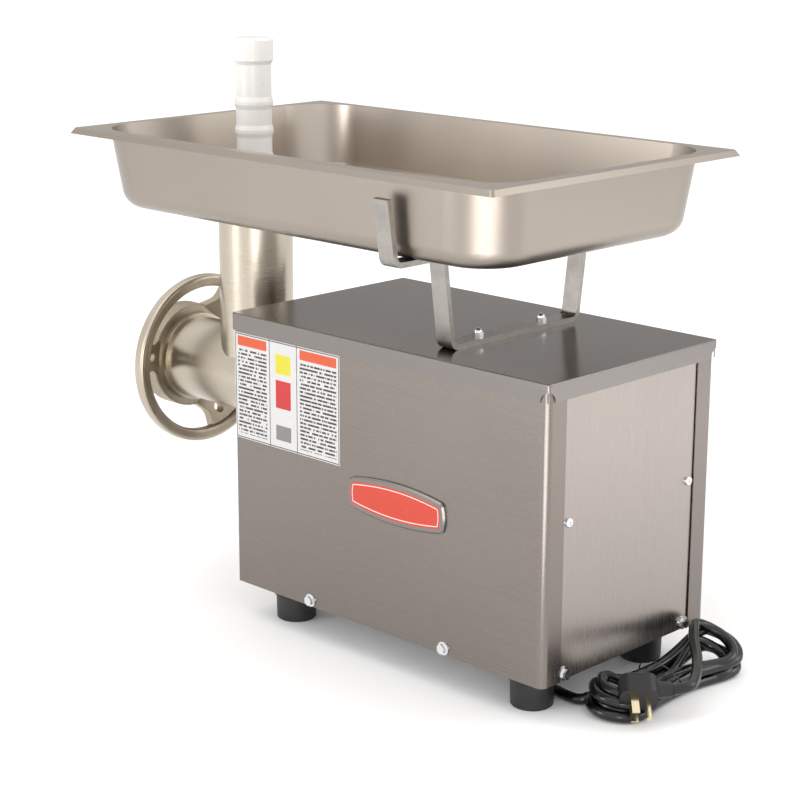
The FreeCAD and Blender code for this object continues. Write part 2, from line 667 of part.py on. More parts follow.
# ---------------------------------------------------------------- grinding head
def grinder_head():
    spigot_end = SPIGOT_REAR
    outside = [rod_y(0, AXIS_Z, BARREL_R, BARREL_COLLAR_Y, BARREL_REAR),
               rod_y(0, AXIS_Z, THREAD_R, BARREL_FRONT, BARREL_COLLAR_Y),
               rod_y(0, AXIS_Z, SPIGOT_R, BARREL_REAR, spigot_end),
               rod_z(0, THROAT_Y, THROAT_R, AXIS_Z, THROAT_TOP)]
    bores = [rod_y(0, AXIS_Z, PLATE_R + FIT, BARREL_FRONT - 1, KNIFE_BACK + 1),
             rod_y(0, AXIS_Z, BARREL_BORE_R, KNIFE_BACK, BARREL_REAR - 4),
             rod_y(0, AXIS_Z, AUGER_SHANK_R + FIT, BARREL_REAR - 5, spigot_end + 1),
             rod_z(0, THROAT_Y, THROAT_R - THROAT_WALL, AXIS_Z, THROAT_TOP + 1),
             key_shape(FIT)]
    return union(outside).cut(union(bores))


def key_shape(room):
    """Round pin that stops the hole plate from turning, half in the barrel."""
    return rod_y(0, AXIS_Z + PLATE_R, 2.5 + room, BARREL_FRONT - 5 * room, PLATE_BACK + room)


def hole_plate():
    shape = ring_y(0, AXIS_Z, PLATE_R, 6 + FIT, PLATE_FRONT, PLATE_BACK)
    holes = []
    pitch = PLATE_HOLE_R * 2 + 2.4
    for row in range(-4, 5):
        for column in range(-5, 6):
            x = pitch * (column + 0.5 * (row % 2))
            z = pitch * row * math.sin(math.radians(60))
            if 14 < math.hypot(x, z) < PLATE_R - PLATE_HOLE_R - 4:
                holes.append(rod_y(x, AXIS_Z + z, PLATE_HOLE_R, PLATE_FRONT - 1, PLATE_BACK + 1))
    return shape.cut(Part.Compound(holes)).cut(key_slot())


def key_slot():
    return rod_y(0, AXIS_Z + PLATE_R, 2.5 + FIT, PLATE_FRONT - 1, PLATE_BACK + 1)


def knife():
    y0, y1 = PLATE_BACK + 0.1, KNIFE_BACK
    parts = [rod_y(0, AXIS_Z, 13, y0, y1)]
    tip = PLATE_R - 2
    for k in range(4):
        angle = 90 * k + 20
        blade = polygon([V(0, y0, AXIS_Z - 6), V(tip, y0, AXIS_Z - 4), V(tip, y0, AXIS_Z + 5),
                         V(0, y0, AXIS_Z + 4)], V(0, y1 - y0, 0))
        blade.rotate(V(0, 0, AXIS_Z), V(0, 1, 0), angle)
        parts.append(blade)
    shape = union(parts).common(rod_y(0, AXIS_Z, tip, y0, y1))
    half = 5 + FIT
    return shape.cut(box(-half, half, y0 - 1, y1 + 1, AXIS_Z - half, AXIS_Z + half))


def auger():
    rear = BARREL_REAR - 4 - SEAT
    front = KNIFE_BACK + 0.3
    body = [rod_y(0, AXIS_Z, AUGER_CORE_R, front, rear),
            rod_y(0, AXIS_Z, AUGER_SHANK_R, rear, HUB_Y - SEAT),
            box(-5, 5, PLATE_BACK + 0.1, front, AXIS_Z - 5, AXIS_Z + 5),
            rod_y(0, AXIS_Z, 4.9, PLATE_FRONT + 1, PLATE_BACK + 0.1)]
    half = DRIVE_SQUARE / 2
    body.append(box(-half, half, HUB_Y - SEAT, TANG_REAR, AXIS_Z - half, AXIS_Z + half))
    pitch, web = 34.0, 5.0
    flight_length = rear - front - web
    helix = Part.makeHelix(pitch, flight_length, AUGER_R)
    inside = AUGER_CORE_R - 1
    corners = [V(inside, 0, 0), V(AUGER_R, 0, 0), V(AUGER_R, 0, web), V(inside, 0, web)]
    sweep = Part.BRepOffsetAPI.MakePipeShell(helix)
    sweep.setFrenetMode(True)
    sweep.add(Part.makePolygon(corners + [corners[0]]))
    sweep.build()
    sweep.makeSolid()
    flight = sweep.shape()
    flight.rotate(V(0, 0, 0), V(1, 0, 0), -90)
    flight.translate(V(0, front, AXIS_Z))
    return union(body + [flight])


def ring_nut():
    back, front = NUT_BACK, NUT_FRONT
    body = rod_y(0, AXIS_Z, NUT_BODY_R, front, back)
    body = body.makeFillet(2, edges_at(body, lambda e: len(e.Vertexes) == 1))
    hand_front = HAND_RING_BACK - HAND_RING_THICK
    ring = ring_y(0, AXIS_Z, HAND_RING_R, HAND_RING_INNER_R, hand_front, HAND_RING_BACK)
    ring = ring.makeFillet(3, edges_at(ring, lambda e: len(e.Vertexes) == 1))
    parts = [body, ring]
    reach = HAND_RING_INNER_R + 5
    for k in range(SPOKES):
        points = [(NUT_BODY_R - 7, 20), (NUT_BODY_R + 9, 12), (reach, 22)]
        outline = [V(r, front, AXIS_Z + h) for r, h in points]
        outline += [V(r, front, AXIS_Z - h) for r, h in points[::-1]]
        web = prism(rounded_wire(outline, [0, 9, 0, 0, 9, 0]), V(0, HAND_RING_BACK - front, 0))
        slope = [V(NUT_BODY_R - 8, back - 1, 0), V(reach + 1, HAND_RING_BACK - 2.5, 0),
                 V(reach + 1, hand_front + 1.5, 0), V(NUT_BODY_R - 8, back - 14, 0)]
        web = web.common(polygon(slope, V(0, 0, 2 * AXIS_Z)))
        web = web.cut(rod_y(NUT_BODY_R + 10, AXIS_Z, SPOKE_HOLE_R, front, HAND_RING_BACK))
        web.rotate(V(0, 0, AXIS_Z), V(0, 1, 0), -(SPOKE_TURN + 360 / SPOKES * k))
        parts.append(web)
    shape = union(parts)
    lip_y = front + NUT_LIP
    bores = [rod_y(0, AXIS_Z, THREAD_R + FIT, BARREL_FRONT - SEAT, back + 1),
             rod_y(0, AXIS_Z, PLATE_R + 1, lip_y, BARREL_FRONT),
             rod_y(0, AXIS_Z, NUT_LIP_R, front - 1, lip_y + 1)]
    return shape.cut(union(bores))


def socket_bolt_places():
    reach = (SOCKET_FLANGE_R - 6) * math.sqrt(0.5)
    return [(sx * reach, AXIS_Z + sz * reach) for sx in (-1, 1) for sz in (-1, 1)]


def lock_y():
    return SPIGOT_REAR - SPIGOT_LENGTH / 2


def head_socket():
    face = -SHELL_Y
    body = union([rod_y(0, AXIS_Z, SOCKET_R, face - SOCKET_LENGTH, face),
                  rod_y(0, AXIS_Z, SOCKET_FLANGE_R, face - SOCKET_FLANGE, face),
                  rod_x(lock_y(), AXIS_Z, 11, -SOCKET_R - 8, -SPIGOT_R - 2)])
    body = body.cut(rod_y(0, AXIS_Z, SPIGOT_R + FIT, face - SOCKET_LENGTH - 1, face + 1))
    for x, z in socket_bolt_places():
        body = body.cut(rod_y(x, z, BOLT_R + FIT, face - SOCKET_FLANGE - 1, face + 1))
    return body.cut(rod_x(lock_y(), AXIS_Z, LOCK_STEM_R + FIT, -SOCKET_R - 9, 0))


def socket_bolt(x, z):
    head_y = -SHELL_Y - SOCKET_FLANGE
    shank = rod_y(x, z, BOLT_R, head_y, CASE_FRONT + 4.5)
    return union([shank, hex_rod(V(x, head_y, z), BOLT_HEX, V(0, -CASE_BOLT_HEAD, 0))])


def lock_knob():
    knob_in = -SOCKET_R - 10
    y = lock_y()
    stem = rod_x(y, AXIS_Z, LOCK_STEM_R, knob_in, -SPIGOT_R - SEAT)
    neck = rod_x(y, AXIS_Z, 9, knob_in - 6, knob_in)
    knob = rod_x(y, AXIS_Z, LOCK_KNOB_R, knob_in - 24, knob_in - 6)
    knob = knob.makeFillet(2.5, edges_at(knob, lambda e: len(e.Vertexes) == 1))
    for k in range(6):
        angle = math.radians(60 * k)
        reach = LOCK_KNOB_R + 3
        flute = rod_x(y + reach * math.cos(angle), AXIS_Z + reach * math.sin(angle), 6,
                      knob_in - 25, knob_in - 5)
        knob = knob.cut(flute)
    return union([stem, neck, knob])


# ---------------------------------------------------------------- gearbox
def gear_tip(teeth, module):
    return teeth * module / 2 + module


def gearbox_outline(grow):
    """Centre and radius of the case around each of the three axes."""
    room = GEAR_ROOM + GEARBOX_WALL * grow
    return [(0, AXIS_Z, gear_tip(STAGE2_TEETH[1], STAGE2_MODULE) + room),
            (LAYSHAFT_X, LAYSHAFT_Z, gear_tip(STAGE1_TEETH[1], STAGE1_MODULE) + room),
            (0, MOTOR_Z, 22 + room)]


def gearbox_bolt_places():
    places = []
    for k, (x, z, radius) in enumerate(gearbox_outline(1)):
        for angle in ((35, 100, 165), (-20, -80, 15), (-130, 195))[k]:
            reach = radius + 3.5
            places.append((x + reach * math.cos(math.radians(angle)),
                           z + reach * math.sin(math.radians(angle))))
    return places


def bearing_seats():
    """x, z, bearing outer radius, shaft radius of the three shafts."""
    return {"output": (0, AXIS_Z, OUTPUT_BEARING_R, OUTPUT_SHAFT_R),
            "layshaft": (LAYSHAFT_X, LAYSHAFT_Z, 20.0, LAYSHAFT_R),
            "motor": (0, MOTOR_Z, 17.0, MOTOR_SHAFT_R)}


def gearbox_housing():
    outer = [rod_y(x, z, r, CASE_FRONT, CASE_REAR) for x, z, r in gearbox_outline(1)]
    outer += [rod_y(x, z, 6, CASE_REAR - 16, CASE_REAR) for x, z in gearbox_bolt_places()]
    inner = [rod_y(x, z, r, CASE_FLOOR, CASE_REAR + 1) for x, z, r in gearbox_outline(0)]
    shape = union(outer).cut(union(inner))
    boss_end = OUTPUT_BEARING_Y + BEARING_WIDE
    x, z, lay_r = bearing_seats()["layshaft"][:3]
    bosses = [rod_y(0, AXIS_Z, OUTPUT_BEARING_R + 5, CASE_FLOOR, boss_end),
              rod_y(x, z, lay_r + 4, CASE_FLOOR, CASE_FLOOR + BEARING_WIDE)]
    shape = union([shape] + bosses)
    shape = shape.cut(rod_y(0, AXIS_Z, OUTPUT_BEARING_R + FIT, CASE_FRONT - 1, boss_end + 1))
    shape = shape.cut(rod_y(x, z, lay_r + FIT, CASE_FLOOR, CASE_FLOOR + BEARING_WIDE + 1))
    for x, z in socket_bolt_places():
        shape = shape.cut(rod_y(x, z, BOLT_R + FIT, CASE_FRONT - 1, CASE_FRONT + 4.6))
    for x, z in gearbox_bolt_places():
        shape = shape.cut(rod_y(x, z, CASE_BOLT_R + FIT, CASE_REAR - 12, CASE_REAR + 1))
    return shape


def gearbox_cover():
    plate = [rod_y(x, z, r, CASE_REAR, COVER_REAR) for x, z, r in gearbox_outline(1)]
    plate += [rod_y(x, z, 6, CASE_REAR, COVER_REAR) for x, z in gearbox_bolt_places()]
    seats = bearing_seats()
    plate.append(rod_y(0, MOTOR_Z, MOTOR_RADIUS, CASE_REAR + 4, COVER_REAR))
    plate.append(rod_y(0, MOTOR_Z, 22, CASE_REAR, COVER_REAR + 5))
    shape = union(plate)
    for name in ("output", "layshaft"):
        x, z, outer_r = seats[name][:3]
        shape = union([shape, rod_y(x, z, outer_r + 4, CASE_REAR - 5, CASE_REAR)])
        shape = shape.cut(rod_y(x, z, outer_r + FIT, CASE_REAR - 6, CASE_REAR - 5 + BEARING_WIDE))
    x, z, outer_r, shaft_r = seats["motor"]
    shape = shape.cut(rod_y(x, z, outer_r + FIT, CASE_REAR + 2, COVER_REAR + 6))
    shape = shape.cut(rod_y(x, z, shaft_r + 1, CASE_REAR - 1, COVER_REAR))
    for x, z in gearbox_bolt_places():
        shape = shape.cut(rod_y(x, z, CASE_BOLT_R + FIT, CASE_REAR - 1, COVER_REAR + 1))
    return shape


def gearbox_bolt(x, z):
    shank = rod_y(x, z, CASE_BOLT_R, CASE_REAR - 11, COVER_REAR)
    return union([shank, hex_rod(V(x, COVER_REAR, z), BOLT_HEX, V(0, CASE_BOLT_HEAD, 0))])


def bearing(name, y0):
    """Sealed ball bearing: one ring with a shallow groove in each face for the shields."""
    x, z, outer_r, shaft_r = bearing_seats()[name]
    shape = ring_y(x, z, outer_r, shaft_r + FIT, y0, y0 + BEARING_WIDE - 1)
    wide = (outer_r - shaft_r) / 4
    for y in (y0 - 1, y0 + BEARING_WIDE - 1.8):
        groove = ring_y(x, z, outer_r - wide, shaft_r + wide, y, y + 1.8)
        shape = shape.cut(groove)
    return shape


def oil_seal():
    return ring_y(0, AXIS_Z, OUTPUT_BEARING_R, OUTPUT_SHAFT_R + FIT, CASE_FRONT, CASE_FRONT + SEAL_WIDE)


def output_shaft():
    rear = CASE_REAR - 5 + BEARING_WIDE - 1.5
    body = union([rod_y(0, AXIS_Z, HUB_R, HUB_Y, CASE_FRONT - SEAT),
                  rod_y(0, AXIS_Z, OUTPUT_SHAFT_R, CASE_FRONT - SEAT, rear)])
    half = DRIVE_SQUARE / 2 + DRIVE_SQUARE_ROOM
    return body.cut(box(-half, half, HUB_Y - 1, TANG_REAR + 1, AXIS_Z - half, AXIS_Z + half))


def mesh_angle(x0, z0, x1, z1):
    return math.atan2(z1 - z0, x1 - x0)


def output_gear():
    towards = mesh_angle(0, AXIS_Z, LAYSHAFT_X, LAYSHAFT_Z)
    teeth = STAGE2_TEETH[1]
    gear = spur_gear(teeth, STAGE2_MODULE, STAGE2_WIDE, 0, AXIS_Z, STAGE2_Y, towards + math.pi / teeth)
    for y in (STAGE2_Y - 1, STAGE2_Y + STAGE2_WIDE - 5):
        gear = gear.cut(ring_y(0, AXIS_Z, 42, 24, y, y + 6))
    for k in range(6):
        angle = math.radians(60 * k)
        gear = gear.cut(rod_y(33 * math.cos(angle), AXIS_Z + 33 * math.sin(angle), 6,
                              STAGE2_Y - 1, STAGE2_Y + STAGE2_WIDE + 1))
    return gear.cut(rod_y(0, AXIS_Z, OUTPUT_SHAFT_R + PRESS, STAGE2_Y - 1, STAGE2_Y + STAGE2_WIDE + 1))


def layshaft():
    towards = mesh_angle(LAYSHAFT_X, LAYSHAFT_Z, 0, AXIS_Z)
    pinion = spur_gear(STAGE2_TEETH[0], STAGE2_MODULE, STAGE2_WIDE + 2, LAYSHAFT_X, LAYSHAFT_Z,
                       STAGE2_Y - 1, towards)
    shaft = rod_y(LAYSHAFT_X, LAYSHAFT_Z, LAYSHAFT_R, CASE_FLOOR + 0.5, CASE_REAR - 5 + BEARING_WIDE - 1.5)
    return union([shaft, pinion])


def layshaft_gear():
    towards = mesh_angle(LAYSHAFT_X, LAYSHAFT_Z, 0, MOTOR_Z)
    teeth = STAGE1_TEETH[1]
    gear = spur_gear(teeth, STAGE1_MODULE, STAGE1_WIDE, LAYSHAFT_X, LAYSHAFT_Z, STAGE1_Y,
                     towards + math.pi / teeth)
    for y in (STAGE1_Y - 1, STAGE1_Y + STAGE1_WIDE - 3):
        gear = gear.cut(ring_y(LAYSHAFT_X, LAYSHAFT_Z, 34, 17, y, y + 4))
    return gear.cut(rod_y(LAYSHAFT_X, LAYSHAFT_Z, LAYSHAFT_R + PRESS, STAGE1_Y - 1,
                          STAGE1_Y + STAGE1_WIDE + 1))


# ---------------------------------------------------------------- motor
def motor_pinion():
    towards = mesh_angle(0, MOTOR_Z, LAYSHAFT_X, LAYSHAFT_Z)
    gear = spur_gear(STAGE1_TEETH[0], STAGE1_MODULE, STAGE1_WIDE + 4, 0, MOTOR_Z, STAGE1_Y - 2, towards)
    return gear.cut(rod_y(0, MOTOR_Z, MOTOR_SHAFT_R + PRESS, STAGE1_Y - 3, PINION_REAR + 1))


def motor_shaft():
    return rod_y(0, MOTOR_Z, MOTOR_SHAFT_R, STAGE1_Y - 3, MOTOR_REAR + COVER_THICK + 20)


def rotor_core():
    return ring_y(0, MOTOR_Z, ROTOR_R, MOTOR_SHAFT_R + PRESS, STATOR_Y, STATOR_Y + STATOR_LENGTH)


def stator_core():
    shape = ring_y(0, MOTOR_Z, STATOR_R, ROTOR_R + AIR_GAP, STATOR_Y, STATOR_Y + STATOR_LENGTH)
    slots = []
    for k in range(24):
        slot = box(ROTOR_R - 1, STATOR_R - 10, STATOR_Y - 1, STATOR_Y + STATOR_LENGTH + 1, -1.4, 1.4)
        slot.rotate(V(0, 0, 0), V(0, 1, 0), 15 * k)
        slot.translate(V(0, 0, MOTOR_Z))
        slots.append(slot)
    return shape.cut(Part.Compound(slots))


def end_winding(y0, y1):
    shape = ring_y(0, MOTOR_Z, STATOR_R - 5, ROTOR_R + 5, y0, y1)
    return shape.makeFillet(4, edges_at(shape, lambda e: len(e.Vertexes) == 1))


def motor_housing():
    shape = ring_y(0, MOTOR_Z, MOTOR_RADIUS, STATOR_R + PRESS, COVER_REAR, MOTOR_REAR)
    fins = [shape]
    for k in range(-4, 5):
        fin = box(MOTOR_RADIUS - 1, MOTOR_RADIUS + 5, COVER_REAR + 10, MOTOR_REAR - 10, -1.2, 1.2)
        fin.rotate(V(0, 0, 0), V(0, 1, 0), -90 + 14 * k)
        fin.translate(V(0, 0, MOTOR_Z))
        fins.append(fin)
    return union(fins)


def motor_rear_bell():
    end = MOTOR_REAR + COVER_THICK
    shape = union([rod_y(0, MOTOR_Z, MOTOR_RADIUS, MOTOR_REAR, end),
                   rod_y(0, MOTOR_Z, 22, MOTOR_REAR - 4, end)])
    shape = shape.cut(rod_y(0, MOTOR_Z, bearing_seats()["motor"][2] + FIT, MOTOR_REAR - 5, end - 2))
    return shape.cut(rod_y(0, MOTOR_Z, MOTOR_SHAFT_R + 1, end - 3, end + 1))


def cooling_fan():
    y0 = MOTOR_REAR + COVER_THICK + 3
    parts = [rod_y(0, MOTOR_Z, 14, y0, y0 + FAN_WIDE), rod_y(0, MOTOR_Z, FAN_R - 6, y0, y0 + 2)]
    for k in range(FAN_BLADES):
        blade = box(12, FAN_R, y0, y0 + FAN_WIDE, -1, 1)
        blade.rotate(V(0, 0, 0), V(0, 1, 0), 360 / FAN_BLADES * k)
        blade.translate(V(0, 0, MOTOR_Z))
        parts.append(blade)
    return union(parts).cut(rod_y(0, MOTOR_Z, MOTOR_SHAFT_R + PRESS, y0 - 1, y0 + FAN_WIDE + 1))


def fan_cover():
    y0 = MOTOR_REAR + COVER_THICK
    shape = rod_y(0, MOTOR_Z, MOTOR_RADIUS, y0, y0 + 26)
    shape = shape.cut(rod_y(0, MOTOR_Z, MOTOR_RADIUS - 1.5, y0 - 1, y0 + 24.5))
    slots = []
    for radius in (18, 30, 42):
        ring = ring_y(0, MOTOR_Z, radius + 3, radius - 3, y0 + 24, y0 + 27)
        for k in range(4):
            bar = box(10, 50, y0 + 23, y0 + 28, -3, 3)
            bar.rotate(V(0, 0, 0), V(0, 1, 0), 90 * k + 45)
            bar.translate(V(0, 0, MOTOR_Z))
            ring = ring.cut(bar)
        slots.append(ring)
    return shape.cut(Part.Compound(slots))


def motor_cradle():
    floor = FLOOR_Z + BASE_SHEET
    y0 = STATOR_Y
    parts = [box(-50, 50, y0, y0 + STATOR_LENGTH, floor, floor + 3)]
    for y in (y0, y0 + STATOR_LENGTH - 4):
        parts.append(box(-50, 50, y, y + 4, floor, MOTOR_Z - 38))
    return union(parts).cut(rod_y(0, MOTOR_Z, MOTOR_RADIUS + SEAT, y0 - 1, y0 + STATOR_LENGTH + 1))


def start_capacitor():
    z = FLOOR_Z + BASE_SHEET + CLIP + CAPACITOR_R
    can = rod_y(CAPACITOR_X, z, CAPACITOR_R, 0, CAPACITOR_LENGTH)
    can = can.makeFillet(2, edges_at(can, lambda e: len(e.Vertexes) == 1))
    tabs = [box(CAPACITOR_X + x - 3, CAPACITOR_X + x + 3, CAPACITOR_LENGTH - 1, CAPACITOR_LENGTH + 7,
                z - 0.4, z + 0.4) for x in (-7, 7)]
    return union([can] + tabs)


def capacitor_clip():
    floor = FLOOR_Z + BASE_SHEET
    z = floor + CLIP + CAPACITOR_R
    band = ring_y(CAPACITOR_X, z, CAPACITOR_R + CLIP, CAPACITOR_R + PRESS, 36, 56)
    foot_strip = box(CAPACITOR_X - 12, CAPACITOR_X + 40, 36, 56, floor, floor + CLIP)
    return union([band, foot_strip]).cut(rod_y(CAPACITOR_X, z, CAPACITOR_R + PRESS, 35, 57))


# ---------------------------------------------------------------- switch
def button_heights():
    return (SWITCH_Z + SWITCH_SPACING / 2, SWITCH_Z - SWITCH_SPACING / 2)


def switch_box():
    half_y, half_z, deep = 18, 34, 34
    x0 = -INNER_X
    shape = box(x0, x0 + deep, SWITCH_Y - half_y, SWITCH_Y + half_y, SWITCH_Z - half_z, SWITCH_Z + half_z)
    shape = shape.cut(box(x0 + 2, x0 + deep - 2, SWITCH_Y - half_y + 2, SWITCH_Y + half_y - 2,
                          SWITCH_Z - half_z + 2, SWITCH_Z + half_z - 2))
    for z in button_heights():
        bezel = rod_x(SWITCH_Y, z, BUTTON_R + 2.5, -SHELL_X - 2, x0 + 2)
        flange = rod_x(SWITCH_Y, z, BUTTON_R + 5, -SHELL_X - 2, -SHELL_X)
        shape = union([shape, bezel, flange])
        shape = shape.cut(rod_x(SWITCH_Y, z, BUTTON_R + SEAT, -SHELL_X - 3, x0 + 3))
        guide = rod_x(SWITCH_Y, z, 3, x0 + 18, x0 + deep - 2)
        shape = union([shape, guide])
    return shape


def button(z, proud):
    inside = -INNER_X + 2 + SEAT
    cap = rod_x(SWITCH_Y, z, BUTTON_R, -SHELL_X - 2 - proud, inside)
    cap = cap.makeFillet(1, edges_at(cap, lambda e: e.BoundBox.XMax < -SHELL_X))
    flange = rod_x(SWITCH_Y, z, BUTTON_R + 1.8, inside, inside + 2)
    return union([cap, flange])


# ---------------------------------------------------------------- badge and label
def badge_plate():
    half_y, half_z = BADGE_LONG / 2, BADGE_HIGH / 2
    x = SHELL_X
    side = half_z - 4
    bulge = 1.5
    edges = [Part.Arc(V(x, BADGE_Y - half_y + 3, BADGE_Z - side), V(x, BADGE_Y, BADGE_Z - half_z - bulge),
                      V(x, BADGE_Y + half_y - 3, BADGE_Z - side)).toShape(),
             Part.Arc(V(x, BADGE_Y + half_y - 3, BADGE_Z - side), V(x, BADGE_Y + half_y, BADGE_Z),
                      V(x, BADGE_Y + half_y - 3, BADGE_Z + side)).toShape(),
             Part.Arc(V(x, BADGE_Y + half_y - 3, BADGE_Z + side), V(x, BADGE_Y, BADGE_Z + half_z + bulge),
                      V(x, BADGE_Y - half_y + 3, BADGE_Z + side)).toShape(),
             Part.Arc(V(x, BADGE_Y - half_y + 3, BADGE_Z + side), V(x, BADGE_Y - half_y, BADGE_Z),
                      V(x, BADGE_Y - half_y + 3, BADGE_Z - side)).toShape()]
    shape = prism(Part.Wire(edges), V(BADGE_THICK, 0, 0))
    corners = edges_at(shape, lambda e: abs(e.BoundBox.XLength - BADGE_THICK) < 1e-4 and e.Length < 4)
    shape = shape.makeFillet(5, corners)
    face = edges_at(shape, lambda e: e.BoundBox.XMin > SHELL_X + BADGE_THICK - 1e-4)
    return shape.makeChamfer(1.4, face)


def warning_label():
    return box(SHELL_X, SHELL_X + LABEL_THICK, LABEL_Y[0], LABEL_Y[1], LABEL_Z[0], LABEL_Z[1])


# ---------------------------------------------------------------- mains cord
def cord_gland():
    mouth = FLOOR_Z - GLAND_DROP
    body = turned([(0, 0), (7.5, 0), (9, 2.5), (9, 5), (11.5, 5), (11.5, GLAND_DROP), (8, GLAND_DROP),
                   (8, GLAND_DROP + 12), (0, GLAND_DROP + 12)], V(GLAND_X, GLAND_Y, mouth), V(0, 0, 1))
    nut = hex_rod(V(GLAND_X, GLAND_Y, FLOOR_Z + BASE_SHEET), 20, V(0, 0, 5))
    return union([body, nut])


def power_cord():
    points = [V(*p) for p in CORD_ROUTE]
    radii = [0]
    for k in range(1, len(points) - 1):
        back, ahead = points[k - 1] - points[k], points[k + 1] - points[k]
        half_turn = (math.pi - back.getAngle(ahead)) / 2
        radii.append(0.45 * min(back.Length, ahead.Length) / math.tan(half_turn))
    radii.append(0)
    path = rounded_wire(points, radii, closed=False)
    start = (points[1] - points[0]).normalize()
    section = Part.Wire(Part.makeCircle(CORD_R, points[0], start))
    tube = path.makePipeShell([section], True, False)
    print("cord radii", [round(r, 1) for r in radii[1:-1]])
    print("cord volume", round(tube.Volume), "section x length", round(math.pi * CORD_R ** 2 * path.Length))
    return tube


def hank_lobe(x, near_y, half_long, half_wide, high):
    shape = rounded_block(x - half_long, x + half_long, near_y, near_y + 2 * half_wide, 0, high, 14)
    return shape.makeFillet(6, edges_at(shape, flat_at(high)))


def cord_hank():
    waist_y = HANK_NEAR_Y + 10
    hank = union([hank_lobe(34, HANK_NEAR_Y, 34, HANK_HALF_WIDE, HANK_HIGH),
                  hank_lobe(-78, HANK_FAR_Y, 40, HANK_HALF_WIDE, HANK_FAR_HIGH),
                  hank_lobe(-22, waist_y, 36, 20, HANK_HIGH - 3)])
    return hank.cut(plug_frame(rounded_block(-15 - SEAT, 31, -14 - SEAT, 14 + SEAT, -20 - SEAT, 22, 8)))


def plug_frame(shape):
    up = PLUG_FACE.cross(PLUG_EXIT)
    a, b, c = PLUG_EXIT, up, PLUG_FACE
    matrix = FreeCAD.Matrix(a.x, b.x, c.x, PLUG_AT.x, a.y, b.y, c.y, PLUG_AT.y, a.z, b.z, c.z, PLUG_AT.z)
    return shape.transformed(matrix)


def plug_body():
    block = rounded_block(-15, 17, -14, 14, -20, 0, 8)
    block = block.makeFillet(3, edges_at(block, flat_at(-20)))
    exit_sleeve = Part.makeCone(7.5, 6, 14, V(16, 0, -11), V(1, 0, 0))
    return plug_frame(union([block, exit_sleeve]))


def plug_blades():
    blades = [box(-6.5, -0.2, y - 0.75, y + 0.75, 0, 17) for y in (-6.35, 6.35)]
    pin = Part.makeCylinder(2.4, 19, V(8, 0, 0), V(0, 0, 1))
    return [plug_frame(shape) for shape in blades + [pin]]


# ---------------------------------------------------------------- everything
def build():
    os.makedirs("parts", exist_ok=True)
    write("base_plate", base_plate())
    write("housing_wrap", housing_wrap())
    write("rear_panel", rear_panel())
    write("rear_post_right", rear_post(1))
    write("rear_post_left", rear_post(-1))
    write("top_cover", top_cover())
    for (x, y), name in zip(foot_places(), ("front_left", "front_right", "rear_left", "rear_right")):
        write("foot_" + name, foot(x, y))
    write("foot_bolts", [foot_bolt(x, y) for x, y in foot_places()])
    write("bottom_bolts", [flanged_bolt(p, d) for p, d in bottom_bolt_places()])
    write("rear_screws", [rear_screw(p, d) for p, d in rear_screw_places()])
    write("pan_bracket", pan_bracket())
    write("bracket_bolts", [bracket_bolt(x) for x in (-BRACKET_BOLT_X, BRACKET_BOLT_X)])
    write("bracket_nuts", [dome_nut(x) for x in (-BRACKET_BOLT_X, BRACKET_BOLT_X)])
    write("feed_pan", feed_pan())
    write("plunger", plunger())
    write("badge_plate", badge_plate())
    write("warning_label", warning_label())
    write("grinder_head", grinder_head())
    write("auger", auger())
    write("knife", knife())
    write("hole_plate", hole_plate())
    write("plate_key", key_shape(0))
    write("ring_nut", ring_nut())
    write("head_socket", head_socket())
    write("socket_bolts", [socket_bolt(x, z) for x, z in socket_bolt_places()])
    write("lock_knob", lock_knob())
    write("gearbox_housing", gearbox_housing())
    write("gearbox_cover", gearbox_cover())
    write("gearbox_bolts", [gearbox_bolt(x, z) for x, z in gearbox_bolt_places()])
    rear_seat = CASE_REAR - 5
    write("output_bearings", [bearing("output", OUTPUT_BEARING_Y), bearing("output", rear_seat)])
    write("layshaft_bearings", [bearing("layshaft", CASE_FLOOR), bearing("layshaft", rear_seat)])
    write("motor_bearings", [bearing("motor", CASE_REAR + 2), bearing("motor", MOTOR_REAR - 4)])
    write("oil_seal", oil_seal())
    write("output_shaft", output_shaft())
    write("output_gear", output_gear())
    write("layshaft", layshaft())
    write("layshaft_gear", layshaft_gear())
    write("motor_pinion", motor_pinion())
    write("motor_shaft", motor_shaft())
    write("rotor_core", rotor_core())
    write("stator_core", stator_core())
    write("stator_windings", [end_winding(STATOR_Y - 20, STATOR_Y),
                              end_winding(STATOR_Y + STATOR_LENGTH, STATOR_Y + STATOR_LENGTH + 20)])
    write("motor_housing", motor_housing())
    write("motor_rear_bell", motor_rear_bell())
    write("cooling_fan", cooling_fan())
    write("fan_cover", fan_cover())
    write("motor_cradle", motor_cradle())
    write("start_capacitor", start_capacitor())
    write("capacitor_clip", capacitor_clip())
    write("switch_box", switch_box())
    start_z, stop_z = button_heights()
    write("start_button", button(start_z, 1.0))
    write("stop_button", button(stop_z, 4.0))
    write("cord_gland", cord_gland())
    write("power_cord", power_cord())
    write("cord_hank", cord_hank())
    write("plug_body", plug_body())
    write("plug_blades", plug_blades())


build()
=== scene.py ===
import bpy
import json
import math
from mathutils import Matrix, Vector


